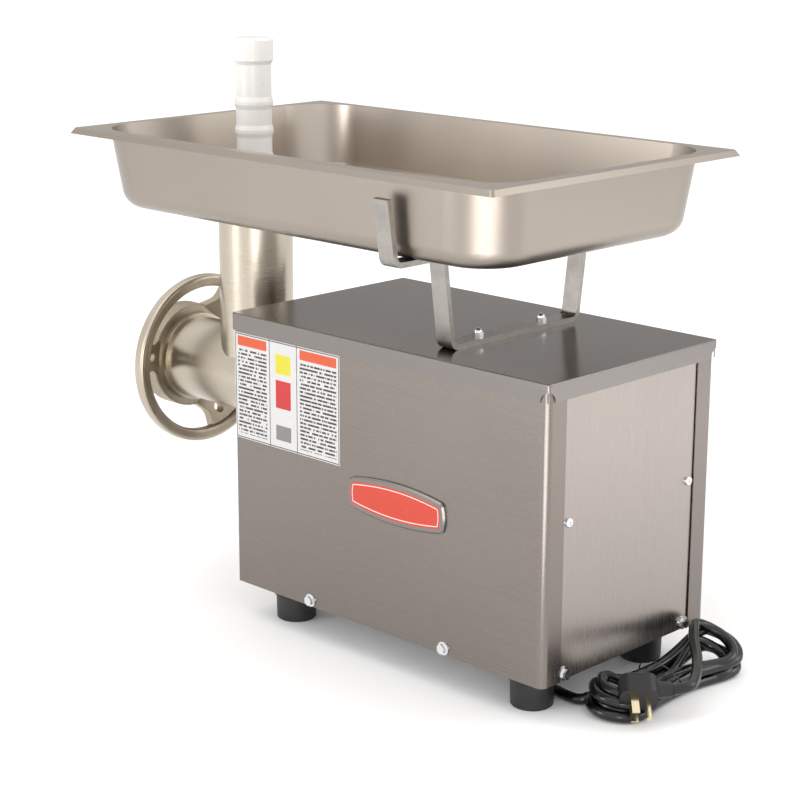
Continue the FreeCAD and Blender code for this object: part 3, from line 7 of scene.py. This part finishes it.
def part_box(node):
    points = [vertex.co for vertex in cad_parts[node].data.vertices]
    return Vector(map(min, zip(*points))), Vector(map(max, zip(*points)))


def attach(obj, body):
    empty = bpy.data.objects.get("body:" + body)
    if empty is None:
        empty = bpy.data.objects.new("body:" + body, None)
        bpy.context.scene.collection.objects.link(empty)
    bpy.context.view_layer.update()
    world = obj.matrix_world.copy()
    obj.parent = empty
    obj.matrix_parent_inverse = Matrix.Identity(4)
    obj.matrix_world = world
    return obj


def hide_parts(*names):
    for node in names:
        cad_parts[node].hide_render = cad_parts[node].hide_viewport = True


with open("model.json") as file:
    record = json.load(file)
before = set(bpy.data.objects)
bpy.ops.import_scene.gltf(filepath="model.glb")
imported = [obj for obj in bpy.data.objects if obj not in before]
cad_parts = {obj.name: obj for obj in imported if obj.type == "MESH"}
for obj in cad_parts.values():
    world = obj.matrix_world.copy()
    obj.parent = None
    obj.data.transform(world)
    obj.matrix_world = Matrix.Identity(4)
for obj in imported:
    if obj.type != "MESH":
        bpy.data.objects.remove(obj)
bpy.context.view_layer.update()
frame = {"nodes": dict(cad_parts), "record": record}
nodes = frame["nodes"]
print("frame loaded")


# ---- camera ----
cameraPlace = {"azimuth": 134.256, "elevation": 14.923, "roll": -0.186, "lens": 90.687,
               "location": (1.29596, 1.28451, 0.69214)}


def makeCamera(place):
    azimuth, elevation = math.radians(place["azimuth"]), math.radians(place["elevation"])
    right = Vector((math.cos(azimuth), math.sin(azimuth), 0))
    back = Vector((math.sin(azimuth) * math.cos(elevation), -math.cos(azimuth) * math.cos(elevation),
                   math.sin(elevation)))
    turn = Matrix.Rotation(math.radians(-place["roll"]), 3, back)
    right = turn @ right
    up = back.cross(right)
    data = bpy.data.cameras.new("camera")
    data.lens = place["lens"]
    data.clip_end = 50
    camera = bpy.data.objects.new("camera", data)
    bpy.context.scene.collection.objects.link(camera)
    axes = Matrix((right, up, back)).transposed().to_4x4()
    camera.matrix_world = Matrix.Translation(place["location"]) @ axes
    bpy.context.scene.camera = camera


makeCamera(cameraPlace)
print("camera placed")


# ---- shader tools ----
class Wire:                                   # one socket, with arithmetic
    def __init__(self, finish, socket):
        self.finish, self.socket = finish, socket

    def math(self, operation, first, second=0.0):
        return self.finish.add("ShaderNodeMath", {"operation": operation}, {0: first, 1: second})

    def __add__(self, other):
        return self.math("ADD", self, other)

    def __sub__(self, other):
        return self.math("SUBTRACT", self, other)

    def __rsub__(self, other):
        return self.math("SUBTRACT", other, self)

    def __mul__(self, other):
        return self.math("MULTIPLY", self, other)

    def __truediv__(self, other):
        return self.math("DIVIDE", self, other)

    def __pow__(self, other):
        return self.math("POWER", self, other)

    def __gt__(self, other):
        return self.math("GREATER_THAN", self, other)

    def __lt__(self, other):
        return self.math("LESS_THAN", self, other)

    def __abs__(self):
        return self.math("ABSOLUTE", self)

    def clamp(self):
        return self.finish.add("ShaderNodeClamp", {}, {"Value": self})

    def within(self, low, high):
        return (self > low) * (self < high)

    def floor(self):
        return self.math("FLOOR", self)

    def most(self, other):
        return self.math("MAXIMUM", self, other)

    __radd__ = __add__
    __rmul__ = __mul__


class Finish:                                 # one material and its nodes
    def __init__(self, name, tree=None):
        if tree is None:
            self.material = bpy.data.materials.new(name)
            self.material.use_nodes = True
            tree = self.material.node_tree
            self.shader = tree.nodes["Principled BSDF"]
        self.tree = tree

    def add(self, kind, settings=None, inputs=None, output=0):
        node = self.tree.nodes.new(kind)
        for key, value in (settings or {}).items():
            setattr(node, key, value)
        for key, value in (inputs or {}).items():
            self.feed(node.inputs[key], value)
        return Wire(self, node.outputs[output])

    def feed(self, socket, value):
        if isinstance(value, Wire):
            self.tree.links.new(value.socket, socket)
        else:
            socket.default_value = value

    def set(self, **inputs):
        for key, value in inputs.items():
            self.feed(self.shader.inputs[key.replace("_", " ")], value)

    def point(self):
        return self.add("ShaderNodeTexCoord", {}, {}, "Object")

    def axes(self):
        return [self.add("ShaderNodeSeparateXYZ", {}, {0: self.point()}, k) for k in range(3)]

    def stretched(self, scales):
        return self.add("ShaderNodeVectorMath", {"operation": "MULTIPLY"}, {0: self.point(), 1: scales})

    def noise(self, vector, scale, detail=3.0, rough=0.5):
        return self.add("ShaderNodeTexNoise", {},
                        {"Vector": vector, "Scale": scale, "Detail": detail, "Roughness": rough})

    def between(self, value, low, high):
        return self.add("ShaderNodeMapRange", {}, {"Value": value, "From Min": 0.25, "From Max": 0.75,
                                                   "To Min": low, "To Max": high})

    def blendColour(self, factor, first, second):
        return self.add("ShaderNodeMix", {"data_type": "RGBA"}, {"Factor": factor, 6: first, 7: second}, 2)

    def bump(self, height, strength, distance):
        return self.add("ShaderNodeBump", {}, {"Height": height, "Strength": strength, "Distance": distance})


def shade(colour, factor):
    return tuple(min(1.0, c * factor) for c in colour[:3]) + (1.0,)


brushShape = {"along": 5.0, "coarseAlong": 0.4, "coarseAcross": 0.22, "clouds": 7.0, "depth": 0.00012,
              "tone": (0.45, 0.35, 0.20), "rough": (0.6, 0.4), "bump": (0.6, 0.4)}


def brushedSteel(name, colour, grain, rough=0.27, spread=0.08, marks=0.05, strength=0.12, across=2600.0):
    # grain is the axis that the brush ran along
    finish = Finish(name)
    shape = brushShape
    along = shape["along"]
    wideAlong, wideAcross = along * shape["coarseAlong"], across * shape["coarseAcross"]
    hair = finish.noise(finish.stretched([along if axis == grain else across for axis in "XYZ"]), 1.0, 2.0)
    band = finish.noise(finish.stretched([wideAlong if axis == grain else wideAcross for axis in "XYZ"]), 1.0)
    cloud = finish.noise(finish.point(), shape["clouds"], 2.0)
    hairShare, bandShare, cloudShare = shape["tone"]
    tone = finish.between(hair * hairShare + band * bandShare + cloud * cloudShare, 0.0, 1.0)
    gloss = hair * shape["rough"][0] + cloud * shape["rough"][1]
    relief = hair * shape["bump"][0] + band * shape["bump"][1]
    finish.set(Base_Color=finish.blendColour(tone, shade(colour, 1 - marks), shade(colour, 1 + marks)),
               Metallic=1.0, Roughness=finish.between(gloss, rough - spread, rough + spread),
               Normal=finish.bump(relief, strength, shape["depth"]))
    return finish.material


def satinSteel(name, colour, rough=0.3, spread=0.06, marks=0.06, grainScale=900.0, strength=0.08, clouds=9.0):
    finish = Finish(name)
    gritShare, depth = 0.35, 0.0001
    grit = finish.noise(finish.point(), grainScale, 2.0)
    cloud = finish.noise(finish.point(), clouds)
    tone = grit * gritShare + cloud * (1 - gritShare)
    finish.set(Base_Color=finish.blendColour(finish.between(tone, 0.0, 1.0), shade(colour, 1 - marks),
                                             shade(colour, 1 + marks)),
               Metallic=1.0, Roughness=finish.between(tone, rough - spread, rough + spread),
               Normal=finish.bump(grit, strength, depth))
    return finish.material


def panSteel(name, paintedLitInner, outer, corners, rough=0.34, spread=0.04, marks=0.03, clouds=9.0):
    # the bowl's inside is painted lighter than its outside, painted light standing in for the light that
    # falls into it; roughness is the same on both
    finish = Finish(name)
    level = 0.002                             # faces that point outwards lie above it
    centre = (corners[0] + corners[1]) / 2
    outward = finish.add("ShaderNodeVectorMath", {"operation": "SUBTRACT"},
                         {0: finish.point(), 1: (centre.x, centre.y, 0.0)})
    flat = finish.add("ShaderNodeVectorMath", {"operation": "MULTIPLY"}, {0: outward, 1: (1.0, 1.0, 0.0)})
    facing = finish.add("ShaderNodeVectorMath", {"operation": "DOT_PRODUCT"},
                        {0: flat, 1: finish.add("ShaderNodeNewGeometry", {}, {}, "Normal")}, "Value")
    # faces pointing inwards get the lighter colour: painted light inside the bowl
    bowl = finish.blendColour(facing > level, paintedLitInner + (1.0,), outer + (1.0,))
    cloud = finish.noise(finish.point(), clouds)
    tone = finish.between(cloud, 1 - marks, 1 + marks)
    clouded = finish.add("ShaderNodeVectorMath", {"operation": "SCALE"}, {0: bowl, "Scale": tone})
    finish.set(Base_Color=clouded, Metallic=1.0,
               Roughness=finish.between(cloud, rough - spread, rough + spread))
    return finish.material


def turnedSteel(name, colour, splitHeight, rough=0.3, spread=0.08, marks=0.10, strength=0.3, clouds=12.0):
    # cut lines run round the barrel below splitHeight and round the throat above it
    finish = Finish(name)
    barrelCut, throatCut, along, depth = 1300.0, 900.0, 20.0, 0.0001
    upper = finish.axes()[2] > splitHeight
    barrelLines = finish.noise(finish.stretched((along, barrelCut, along)), 1.0)
    throatLines = finish.noise(finish.stretched((along, along, throatCut)), 1.0)
    lines = barrelLines * (1 - upper) + throatLines * upper
    cloud = finish.noise(finish.point(), clouds)
    tone = finish.between(lines * 0.5 + cloud * 0.5, 0.0, 1.0)
    finish.set(Base_Color=finish.blendColour(tone, shade(colour, 1 - marks), shade(colour, 1 + marks)),
               Metallic=1.0,
               Roughness=finish.between(lines * 0.4 + cloud * 0.6, rough - spread, rough + spread),
               Normal=finish.bump(lines, strength, depth))
    return finish.material


def castMetal(name, colour, stain, rough=0.42, spread=0.12, lump=260.0, strength=0.5, patch=28.0):
    finish = Finish(name)
    depth = 0.0005
    lumps = finish.noise(finish.point(), lump, 4.0, 0.6)
    patches = finish.between(finish.noise(finish.point(), patch, 4.0, 0.6), 0.0, 1.0)
    finish.set(Base_Color=finish.blendColour(patches, colour + (1.0,), stain + (1.0,)),
               Metallic=1.0, Roughness=finish.between(lumps, rough - spread, rough + spread),
               Normal=finish.bump(lumps, strength, depth))
    return finish.material


def mouldedPlastic(name, colour, rough=0.35, spread=0.07, texture=700.0, strength=0.1, marks=0.06):
    finish = Finish(name)
    clouds, depth = 22.0, 0.0002
    grit = finish.noise(finish.point(), texture)
    cloud = finish.noise(finish.point(), clouds)
    finish.set(Base_Color=finish.blendColour(finish.between(cloud, 0.0, 1.0), shade(colour, 1 - marks),
                                             shade(colour, 1 + marks)),
               Roughness=finish.between(grit * 0.4 + cloud * 0.6, rough - spread, rough + spread),
               Normal=finish.bump(grit, strength, depth))
    return finish.material


def wornRubber(name, colour, dust, rough=0.55, texture=1100.0, patch=35.0, cover=0.6, strength=0.2):
    finish = Finish(name)
    smooth, dull, depth = 0.12, 0.15, 0.0002
    grit = finish.noise(finish.point(), texture)
    dusty = finish.between(finish.noise(finish.point(), patch, 4.0, 0.65), -0.4, 1.0).clamp()
    finish.set(Base_Color=finish.blendColour(dusty * cover, colour + (1.0,), dust + (1.0,)),
               Roughness=finish.between(grit * 0.3 + dusty * 0.5, rough - smooth, rough + dull),
               Normal=finish.bump(grit, strength, depth))
    return finish.material


nutShape = {"cast": (0.42, 0.365, 0.285), "stain": (0.27, 0.22, 0.16), "machined": (0.47, 0.415, 0.34),
            "rim": 0.0825, "lump": 210.0, "patch": 26.0, "cut": 1500.0, "along": 30.0,
            "castRough": (0.32, 0.50), "cutRough": (0.24, 0.36), "cutShare": 0.2, "strength": 0.5,
            "depth": 0.0005}


def nutCasting(name, corners, shape):
    # the hand ring's rim is turned, the rest is left as cast
    finish = Finish(name)
    x, y, z = finish.axes()
    centre = (corners[0] + corners[1]) / 2
    radius = ((x - centre.x) ** 2.0 + (z - centre.z) ** 2.0) ** 0.5
    rim = radius > shape["rim"]
    lumps = finish.noise(finish.point(), shape["lump"], 4.0, 0.6)
    lines = finish.noise(finish.stretched((shape["along"], shape["cut"], shape["along"])), 1.0, 2.0)
    patches = finish.between(finish.noise(finish.point(), shape["patch"], 4.0, 0.6), 0.0, 1.0)
    cast = finish.blendColour(patches, shape["cast"] + (1.0,), shape["stain"] + (1.0,))
    castRough = finish.between(lumps, *shape["castRough"])
    cutRough = finish.between(lines, *shape["cutRough"])
    relief = lumps * (1 - rim) + lines * rim * shape["cutShare"]
    finish.set(Base_Color=finish.blendColour(rim, cast, shape["machined"] + (1.0,)), Metallic=1.0,
               Roughness=castRough * (1 - rim) + cutRough * rim,
               Normal=finish.bump(relief, shape["strength"], shape["depth"]))
    return finish.material


labelShape = {"first": 47.0, "second": 83.0, "wide": 138.0, "high": 100.0, "row": 3.6, "line": 0.42,
              "inset": 1.2, "margin": 4.0, "heading": (3.0, 12.0), "ruled": (15.0, 95.0),
              "stroke": (0.2, 0.7), "dash": 0.55, "rowStep": 5.7, "gaps": 0.40, "upper": (12.0, 30.0),
              "middle": (36.0, 62.0), "lower": (78.0, 92.0), "orange": (0.50, 0.065, 0.015, 1.0),
              "ink": (0.02, 0.02, 0.022, 1.0),
              "film": (0.50, 0.49, 0.485, 1.0), "yellow": (0.52, 0.46, 0.02, 1.0),
              "red": (0.42, 0.012, 0.012, 1.0), "grey": (0.16, 0.16, 0.16, 1.0), "rough": (0.24, 0.34),
              "clouds": 30.0, "strength": 0.05, "depth": 0.0002}


def printedLabel(name, corners, shape):
    # plain ruled bars and blocks of colour, measured in millimetres from the top left corner
    finish = Finish(name)
    x, y, z = finish.axes()
    across = (y - corners[0].y) * 1000
    down = (corners[1].z - z) * 1000
    wide, high, inset, line = shape["wide"], shape["high"], shape["inset"], shape["line"]
    first, second, margin = shape["first"], shape["second"], shape["margin"]
    edge = abs(across - wide / 2) - (wide / 2 - inset)
    rise = abs(down - high / 2) - (high / 2 - inset)
    border = abs(edge.most(rise)) < line
    dividers = ((abs(across - first) < line) + (abs(across - second) < line)) * (edge < 0.0)
    outer = across.within(margin, first - margin) + across.within(second + margin, wide - margin)
    centre = across.within(first + 2 * margin, second - 2 * margin)
    place = down / shape["row"]
    row = place.floor()
    dashes = finish.add("ShaderNodeCombineXYZ", {},
                        {0: across * shape["dash"], 1: row * shape["rowStep"], 2: 0.5})
    inked = finish.noise(dashes, 1.0, 0.0) > shape["gaps"]
    ruled = inked * (place - row).within(*shape["stroke"]) * outer * down.within(*shape["ruled"])
    colour = finish.blendColour(outer * down.within(*shape["heading"]), shape["film"], shape["orange"])
    colour = finish.blendColour((border + dividers + ruled).clamp(), colour, shape["ink"])
    for block, paint in (("upper", "yellow"), ("middle", "red"), ("lower", "grey")):
        colour = finish.blendColour(centre * down.within(*shape[block]), colour, shape[paint])
    cloud = finish.noise(finish.point(), shape["clouds"], 2.0)
    finish.set(Base_Color=colour, Roughness=finish.between(cloud, *shape["rough"]),
               Normal=finish.bump(cloud, shape["strength"], shape["depth"]))
    return finish.material


badgeShape = {"high": 19.0, "arch": 5.5, "archWide": 55.5, "wide": 58.5, "end": 3.0, "endHigh": 13.5,
              "border": -4.6, "line": (-7.2, -6.4), "field": (0.46, 0.035, 0.014, 1.0),
              "white": (0.62, 0.60, 0.58, 1.0), "metal": (0.21, 0.195, 0.18, 1.0), "shine": 0.9,
              "rough": (0.20, 0.32), "clouds": 45.0, "strength": 0.1, "depth": 0.0003}


def enamelBadge(name, corners, shape):
    # depth runs in millimetres from the plate's edge, inwards below nought
    finish = Finish(name)
    x, y, z = finish.axes()
    centre = (corners[0] + corners[1]) / 2
    across, rise = (y - centre.y) * 1000, (z - centre.z) * 1000
    arch = abs(rise) - (shape["high"] - (across / shape["archWide"]) ** 2.0 * shape["arch"])
    end = abs(across) - (shape["wide"] - (rise / shape["endHigh"]) ** 2.0 * shape["end"])
    depth = arch.most(end)
    field = depth < shape["border"]
    line = depth.within(*shape["line"])
    cloud = finish.noise(finish.point(), shape["clouds"])
    colour = finish.blendColour(field, shape["metal"], shape["field"])
    finish.set(Base_Color=finish.blendColour(line, colour, shape["white"]),
               Metallic=(1 - field) * shape["shine"], Roughness=finish.between(cloud, *shape["rough"]),
               Normal=finish.bump(depth.clamp() + cloud * 0.05, shape["strength"], shape["depth"]))
    return finish.material


def finishNode(name, material):
    node = nodes[name]
    if not node.material_slots:
        node.data.materials.append(material)
    for held in node.material_slots:
        held.material = material


# ---- studio ----
studio = {"floor": 14.0, "floorColour": (0.96, 0.958, 0.955), "floorRough": 0.6, "floorGloss": 0.25,
          "skyTop": (1.0, 1.0, 1.0), "skyNear": (0.98, 0.97, 0.96), "skyFar": (0.37, 0.357, 0.35),
          "skyStrength": 1.32, "turn": (-1.2, 0.2), "rise": (0.30, 0.65)}
softLights = {
    "frontLight": {"place": (1.75, 1.6, 0.28), "aim": (0, 0.1, 0.3), "size": (0.4, 0.5), "power": 6},
    "sideLight": {"place": (2.1, -0.8, 0.6), "aim": (0, 0.1, 0.2), "size": (0.5, 1.1), "power": 12},
    "keyLight": {"place": (0.9, -0.6, 2.4), "aim": (0, 0.0, 0.25), "size": (1.4, 1.4), "power": 10},
    "rearLight": {"place": (-1.6, 1.7, 1.5), "aim": (0, 0.1, 0.2), "size": (0.9, 1.4), "power": 9},
    "farLight": {"place": (-0.75, 1.02, 0.34), "aim": (-0.75, 1.02, 0.0), "size": (0.7, 0.6), "power": 1.8},
    "cornerLight": {"place": (0.80, 0.86, 0.004), "aim": (0.80, 0.86, 1.0), "size": (0.8, 0.8), "power": 8},
}


def makeStudio(studio, softLights):
    bpy.context.scene.view_settings.view_transform = "Standard"
    bpy.ops.object.select_all(action="DESELECT")
    bpy.ops.mesh.primitive_plane_add(size=studio["floor"] * 2, location=(0, 0, 0))
    floor = bpy.context.object
    floor.name = "studioFloor"
    finish = Finish("paleFloor")
    finish.set(Base_Color=studio["floorColour"] + (1.0,), Roughness=studio["floorRough"],
               Specular_IOR_Level=studio["floorGloss"])
    floor.data.materials.append(finish.material)
    world = bpy.data.worlds.new("studioWorld")
    world.use_nodes = True
    tree = world.node_tree
    sky = Finish("studioSky", tree)
    way = sky.add("ShaderNodeTexCoord", {}, {}, "Generated")
    along, side, height = [sky.add("ShaderNodeSeparateXYZ", {}, {0: way}, k) for k in range(3)]
    facing = sky.add("ShaderNodeMapRange", {"interpolation_type": "SMOOTHSTEP"},
                     {"Value": along + side, "From Min": studio["turn"][0], "From Max": studio["turn"][1]})
    horizon = sky.blendColour(facing, studio["skyFar"] + (1.0,), studio["skyNear"] + (1.0,))
    rise = sky.add("ShaderNodeMapRange", {"interpolation_type": "SMOOTHSTEP"},
                   {"Value": height, "From Min": studio["rise"][0], "From Max": studio["rise"][1]})
    tint = sky.blendColour(rise, horizon, studio["skyTop"] + (1.0,))
    sky.feed(tree.nodes["Background"].inputs["Color"], tint)
    tree.nodes["Background"].inputs["Strength"].default_value = studio["skyStrength"]
    bpy.context.scene.world = world
    for name, light in softLights.items():
        data = bpy.data.lights.new(name, "AREA")
        data.shape = "RECTANGLE"
        data.size, data.size_y = light["size"]
        data.energy = light["power"]
        lamp = bpy.data.objects.new(name, data)
        bpy.context.scene.collection.objects.link(lamp)
        lamp.location = light["place"]
        towards = Vector(light["aim"]) - Vector(light["place"])
        lamp.rotation_euler = towards.to_track_quat("-Z", "Y").to_euler()


makeStudio(studio, softLights)
print("studio made")


# ---- finishes of the carried-over nodes ----
panelSteel = (0.215, 0.189, 0.173)
sidePanel = brushedSteel("brushedSide", panelSteel, "Y")
# the rear sheet is painted lighter than the side sheet of the same brushed steel: painted light on the rear
# face
litRearSheet = brushedSteel("brushedRearPaintedLight", (0.33, 0.295, 0.272), "Z")
lidSheet = brushedSteel("brushedLid", (0.21, 0.193, 0.184), "Y", rough=0.2)
# the pan's inside colour is painted lighter than its outside: painted light
panSheet = panSteel("satinPan", (0.46, 0.41, 0.358), (0.31, 0.272, 0.236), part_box("feed_pan"))
barStock = castMetal("barStock", (0.35, 0.33, 0.305), (0.27, 0.25, 0.235), rough=0.36, strength=0.25,
                     patch=60.0)
throatLength = 0.14
headSheet = turnedSteel("turnedHead", (0.47, 0.42, 0.345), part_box("grinder_head")[1].z - throatLength)
castIron = castMetal("tinnedCasting", (0.60, 0.53, 0.43), (0.40, 0.33, 0.25))
nutIron = nutCasting("tinnedNut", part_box("ring_nut"), nutShape)
galvanised = castMetal("galvanised", (0.50, 0.51, 0.52), (0.38, 0.39, 0.40), rough=0.4, strength=0.15)
toolSteel = satinSteel("groundSteel", (0.50, 0.50, 0.50), rough=0.25)
gearSteel = satinSteel("gearSteel", (0.36, 0.36, 0.37), rough=0.32)
zincPlate = satinSteel("zincPlate", (0.72, 0.73, 0.75), rough=0.2, marks=0.12, clouds=120.0)
castAluminium = castMetal("castAluminium", (0.55, 0.56, 0.57), (0.42, 0.43, 0.44), rough=0.45)
lamination = brushedSteel("lamination", (0.25, 0.26, 0.28), "X", marks=0.10, strength=0.25, across=900.0)
copperWire = satinSteel("copperWire", (0.70, 0.34, 0.16), rough=0.35, grainScale=500.0, strength=0.5)
brassPlate = satinSteel("platedBrass", (0.72, 0.62, 0.42), rough=0.22)
whitePlastic = mouldedPlastic("whitePlastic", (0.74, 0.725, 0.70), rough=0.32, marks=0.015)
blackPlastic = mouldedPlastic("blackPlastic", (0.006, 0.006, 0.0065), rough=0.34)
greenPlastic = mouldedPlastic("greenPlastic", (0.03, 0.35, 0.10), rough=0.3)
redPlastic = mouldedPlastic("redPlastic", (0.62, 0.02, 0.015), rough=0.3)
badgeEnamel = enamelBadge("badgeEnamel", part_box("badge_plate"), badgeShape)
labelFilm = printedLabel("labelFilm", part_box("warning_label"), labelShape)
footRubber = wornRubber("footRubber", (0.006, 0.006, 0.0065), (0.03, 0.03, 0.03))
cordRubber = wornRubber("cordRubber", (0.002, 0.002, 0.002), (0.006, 0.006, 0.006), rough=0.30)

slotFinish = {
    "brushed_panel": sidePanel, "pan_steel": panSheet, "bar_steel": barStock, "galvanised": galvanised,
    "head_steel": headSheet, "tinned_iron": castIron, "tool_steel": toolSteel, "white_plastic": whitePlastic,
    "foot_rubber": footRubber, "zinc": zincPlate, "badge_metal": badgeEnamel, "label_film": labelFilm,
    "black_plastic": blackPlastic, "green_plastic": greenPlastic, "red_plastic": redPlastic,
    "cast_aluminium": castAluminium, "gear_steel": gearSteel, "bearing_steel": zincPlate,
    "lamination": lamination, "copper": copperWire, "cord_rubber": cordRubber, "blade_brass": brassPlate,
}
for part in frame["record"]["subparts"]:
    finishNode(part["node"], slotFinish[part["material_slot"]])
finishNode("rear_panel", litRearSheet)
finishNode("top_cover", lidSheet)
finishNode("ring_nut", nutIron)
print("nodes finished")


# ---- mains cord ----
cordLead = [(0.038, 0.20575, 0.025), (0.038, 0.20575, 0.014), (0.0385, 0.21575, 0.0054),
            (0.041, 0.23475, 0.005), (0.047, 0.25275, 0.005), (0.050, 0.27075, 0.005),
            (0.050, 0.28575, 0.005)]
cordTail = [(-0.075, 0.3105, 0.044), (-0.060, 0.3215, 0.038), (-0.045, 0.3365, 0.033),
            (-0.025, 0.3515, 0.030), (-0.005, 0.3635, 0.029), (0.008, 0.3675, 0.028),
            (0.0200, 0.35915, 0.0274)]
# rightTurn is the right loop's half length, half height and shift; waist is each crossing's place and pinch
cordShape = {"diameter": 0.0095, "length": 1.65, "middle": 0.317, "rightTurn": (0.021, 0.020, 0.007),
             "waist": ((0.014, 0.5), (-0.020, 0.0), (-0.052, 0.4)), "waistSpread": 0.020,
             "loopSteps": 5, "loopAngle": 80, "order": 3, "stepsAlong": 6, "stepsRound": 5}
cordTurns = [
    {"left": 0.062, "leftRadius": 0.027, "leftHigh": (0.008, 0.005),
     "right": -0.110, "rightHigh": (0.020, 0.005), "column": 0.015, "layer": 0.005},
    {"left": 0.054, "leftRadius": 0.023, "leftHigh": (0.014, 0.006),
     "right": -0.098, "rightHigh": (0.030, 0.006), "column": 0.005, "layer": 0.006},
    {"left": 0.058, "leftRadius": 0.026, "leftHigh": (0.022, 0.014),
     "right": -0.112, "rightHigh": (0.036, 0.014), "column": 0.015, "layer": 0.015},
    {"left": 0.050, "leftRadius": 0.022, "leftHigh": (0.027, 0.018),
     "right": -0.104, "rightHigh": (0.043, 0.017), "column": 0.005, "layer": 0.0165},
]


def hankPoints(shape, turns):
    points = []
    middle, steps, widest = shape["middle"], shape["loopSteps"], shape["loopAngle"]
    halfLong, halfHigh, shift = shape["rightTurn"]
    for count, turn in enumerate(turns):
        radius = turn["leftRadius"]
        far, near = turn["leftHigh"]
        for step in range(steps):
            share = step / (steps - 1)
            angle = math.radians(widest * (2 * share - 1))
            x = turn["left"] - radius + radius * math.cos(angle)
            points.append((x, middle + radius * math.sin(angle), far + (near - far) * share))
        for x, pinch in shape["waist"]:
            spread = turn["column"] * (1 - pinch) + shape["waistSpread"] * pinch
            points.append((x, middle + spread, turn["layer"]))
        far, near = turn["rightHigh"]
        for step in range(steps):
            share = step / (steps - 1)
            angle = math.radians(widest * (1 - 2 * share))
            x = turn["right"] + halfLong - halfLong * math.cos(angle)
            points.append((x, middle + shift + halfHigh * math.sin(angle), near + (far - near) * share))
        if count < len(turns) - 1:
            for x, pinch in reversed(shape["waist"]):
                spread = turn["column"] * (1 - pinch) + shape["waistSpread"] * pinch
                points.append((x, middle - spread, turn["layer"]))
    return points


def makeCord(shape, lead, turns, tail):
    points = lead + hankPoints(shape, turns) + tail
    data = bpy.data.curves.new("mainsCord", "CURVE")
    data.dimensions = "3D"
    spline = data.splines.new("NURBS")
    spline.points.add(len(points) - 1)
    for place, point in zip(points, spline.points):
        point.co = place + (1.0,)
    spline.order_u = shape["order"]
    spline.use_endpoint_u = True
    spline.resolution_u = shape["stepsAlong"]
    data.bevel_depth = shape["diameter"] / 2
    data.bevel_resolution = shape["stepsRound"]
    data.use_fill_caps = True
    cord = bpy.data.objects.new("mainsCord", data)
    bpy.context.scene.collection.objects.link(cord)
    data.materials.append(cordRubber)
    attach(cord, "cabinet")
    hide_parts("power_cord", "cord_hank")


makeCord(cordShape, cordLead, cordTurns, cordTail)
print("cord laid")


# ---- wire tie round the hank ----
tieShape = {"place": (-0.020, 0.317, 0.0135), "long": 0.056, "high": 0.0255, "wire": 0.0009, "tilt": 12.0,
            "segments": (72, 12)}


def makeTie(shape):
    bpy.ops.object.select_all(action="DESELECT")
    stepsAlong, stepsRound = shape["segments"]
    bpy.ops.mesh.primitive_torus_add(major_segments=stepsAlong, minor_segments=stepsRound, major_radius=0.5,
                                     minor_radius=shape["wire"], location=(0, 0, 0))
    tie = bpy.context.object
    tie.name = "hankTie"
    bpy.ops.object.mode_set(mode="EDIT")
    bpy.ops.mesh.select_all(action="SELECT")
    bpy.ops.transform.resize(value=(shape["high"], shape["long"], 1.0), center_override=(0, 0, 0))
    bpy.ops.transform.rotate(value=math.radians(90), orient_axis="Y", center_override=(0, 0, 0))
    bpy.ops.transform.rotate(value=math.radians(shape["tilt"]), orient_axis="Z", center_override=(0, 0, 0))
    bpy.ops.transform.translate(value=shape["place"])
    bpy.ops.object.mode_set(mode="OBJECT")
    bpy.ops.object.shade_smooth()
    tie.data.materials.append(blackPlastic)
    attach(tie, "cabinet")


makeTie(tieShape)
print("hank tied")
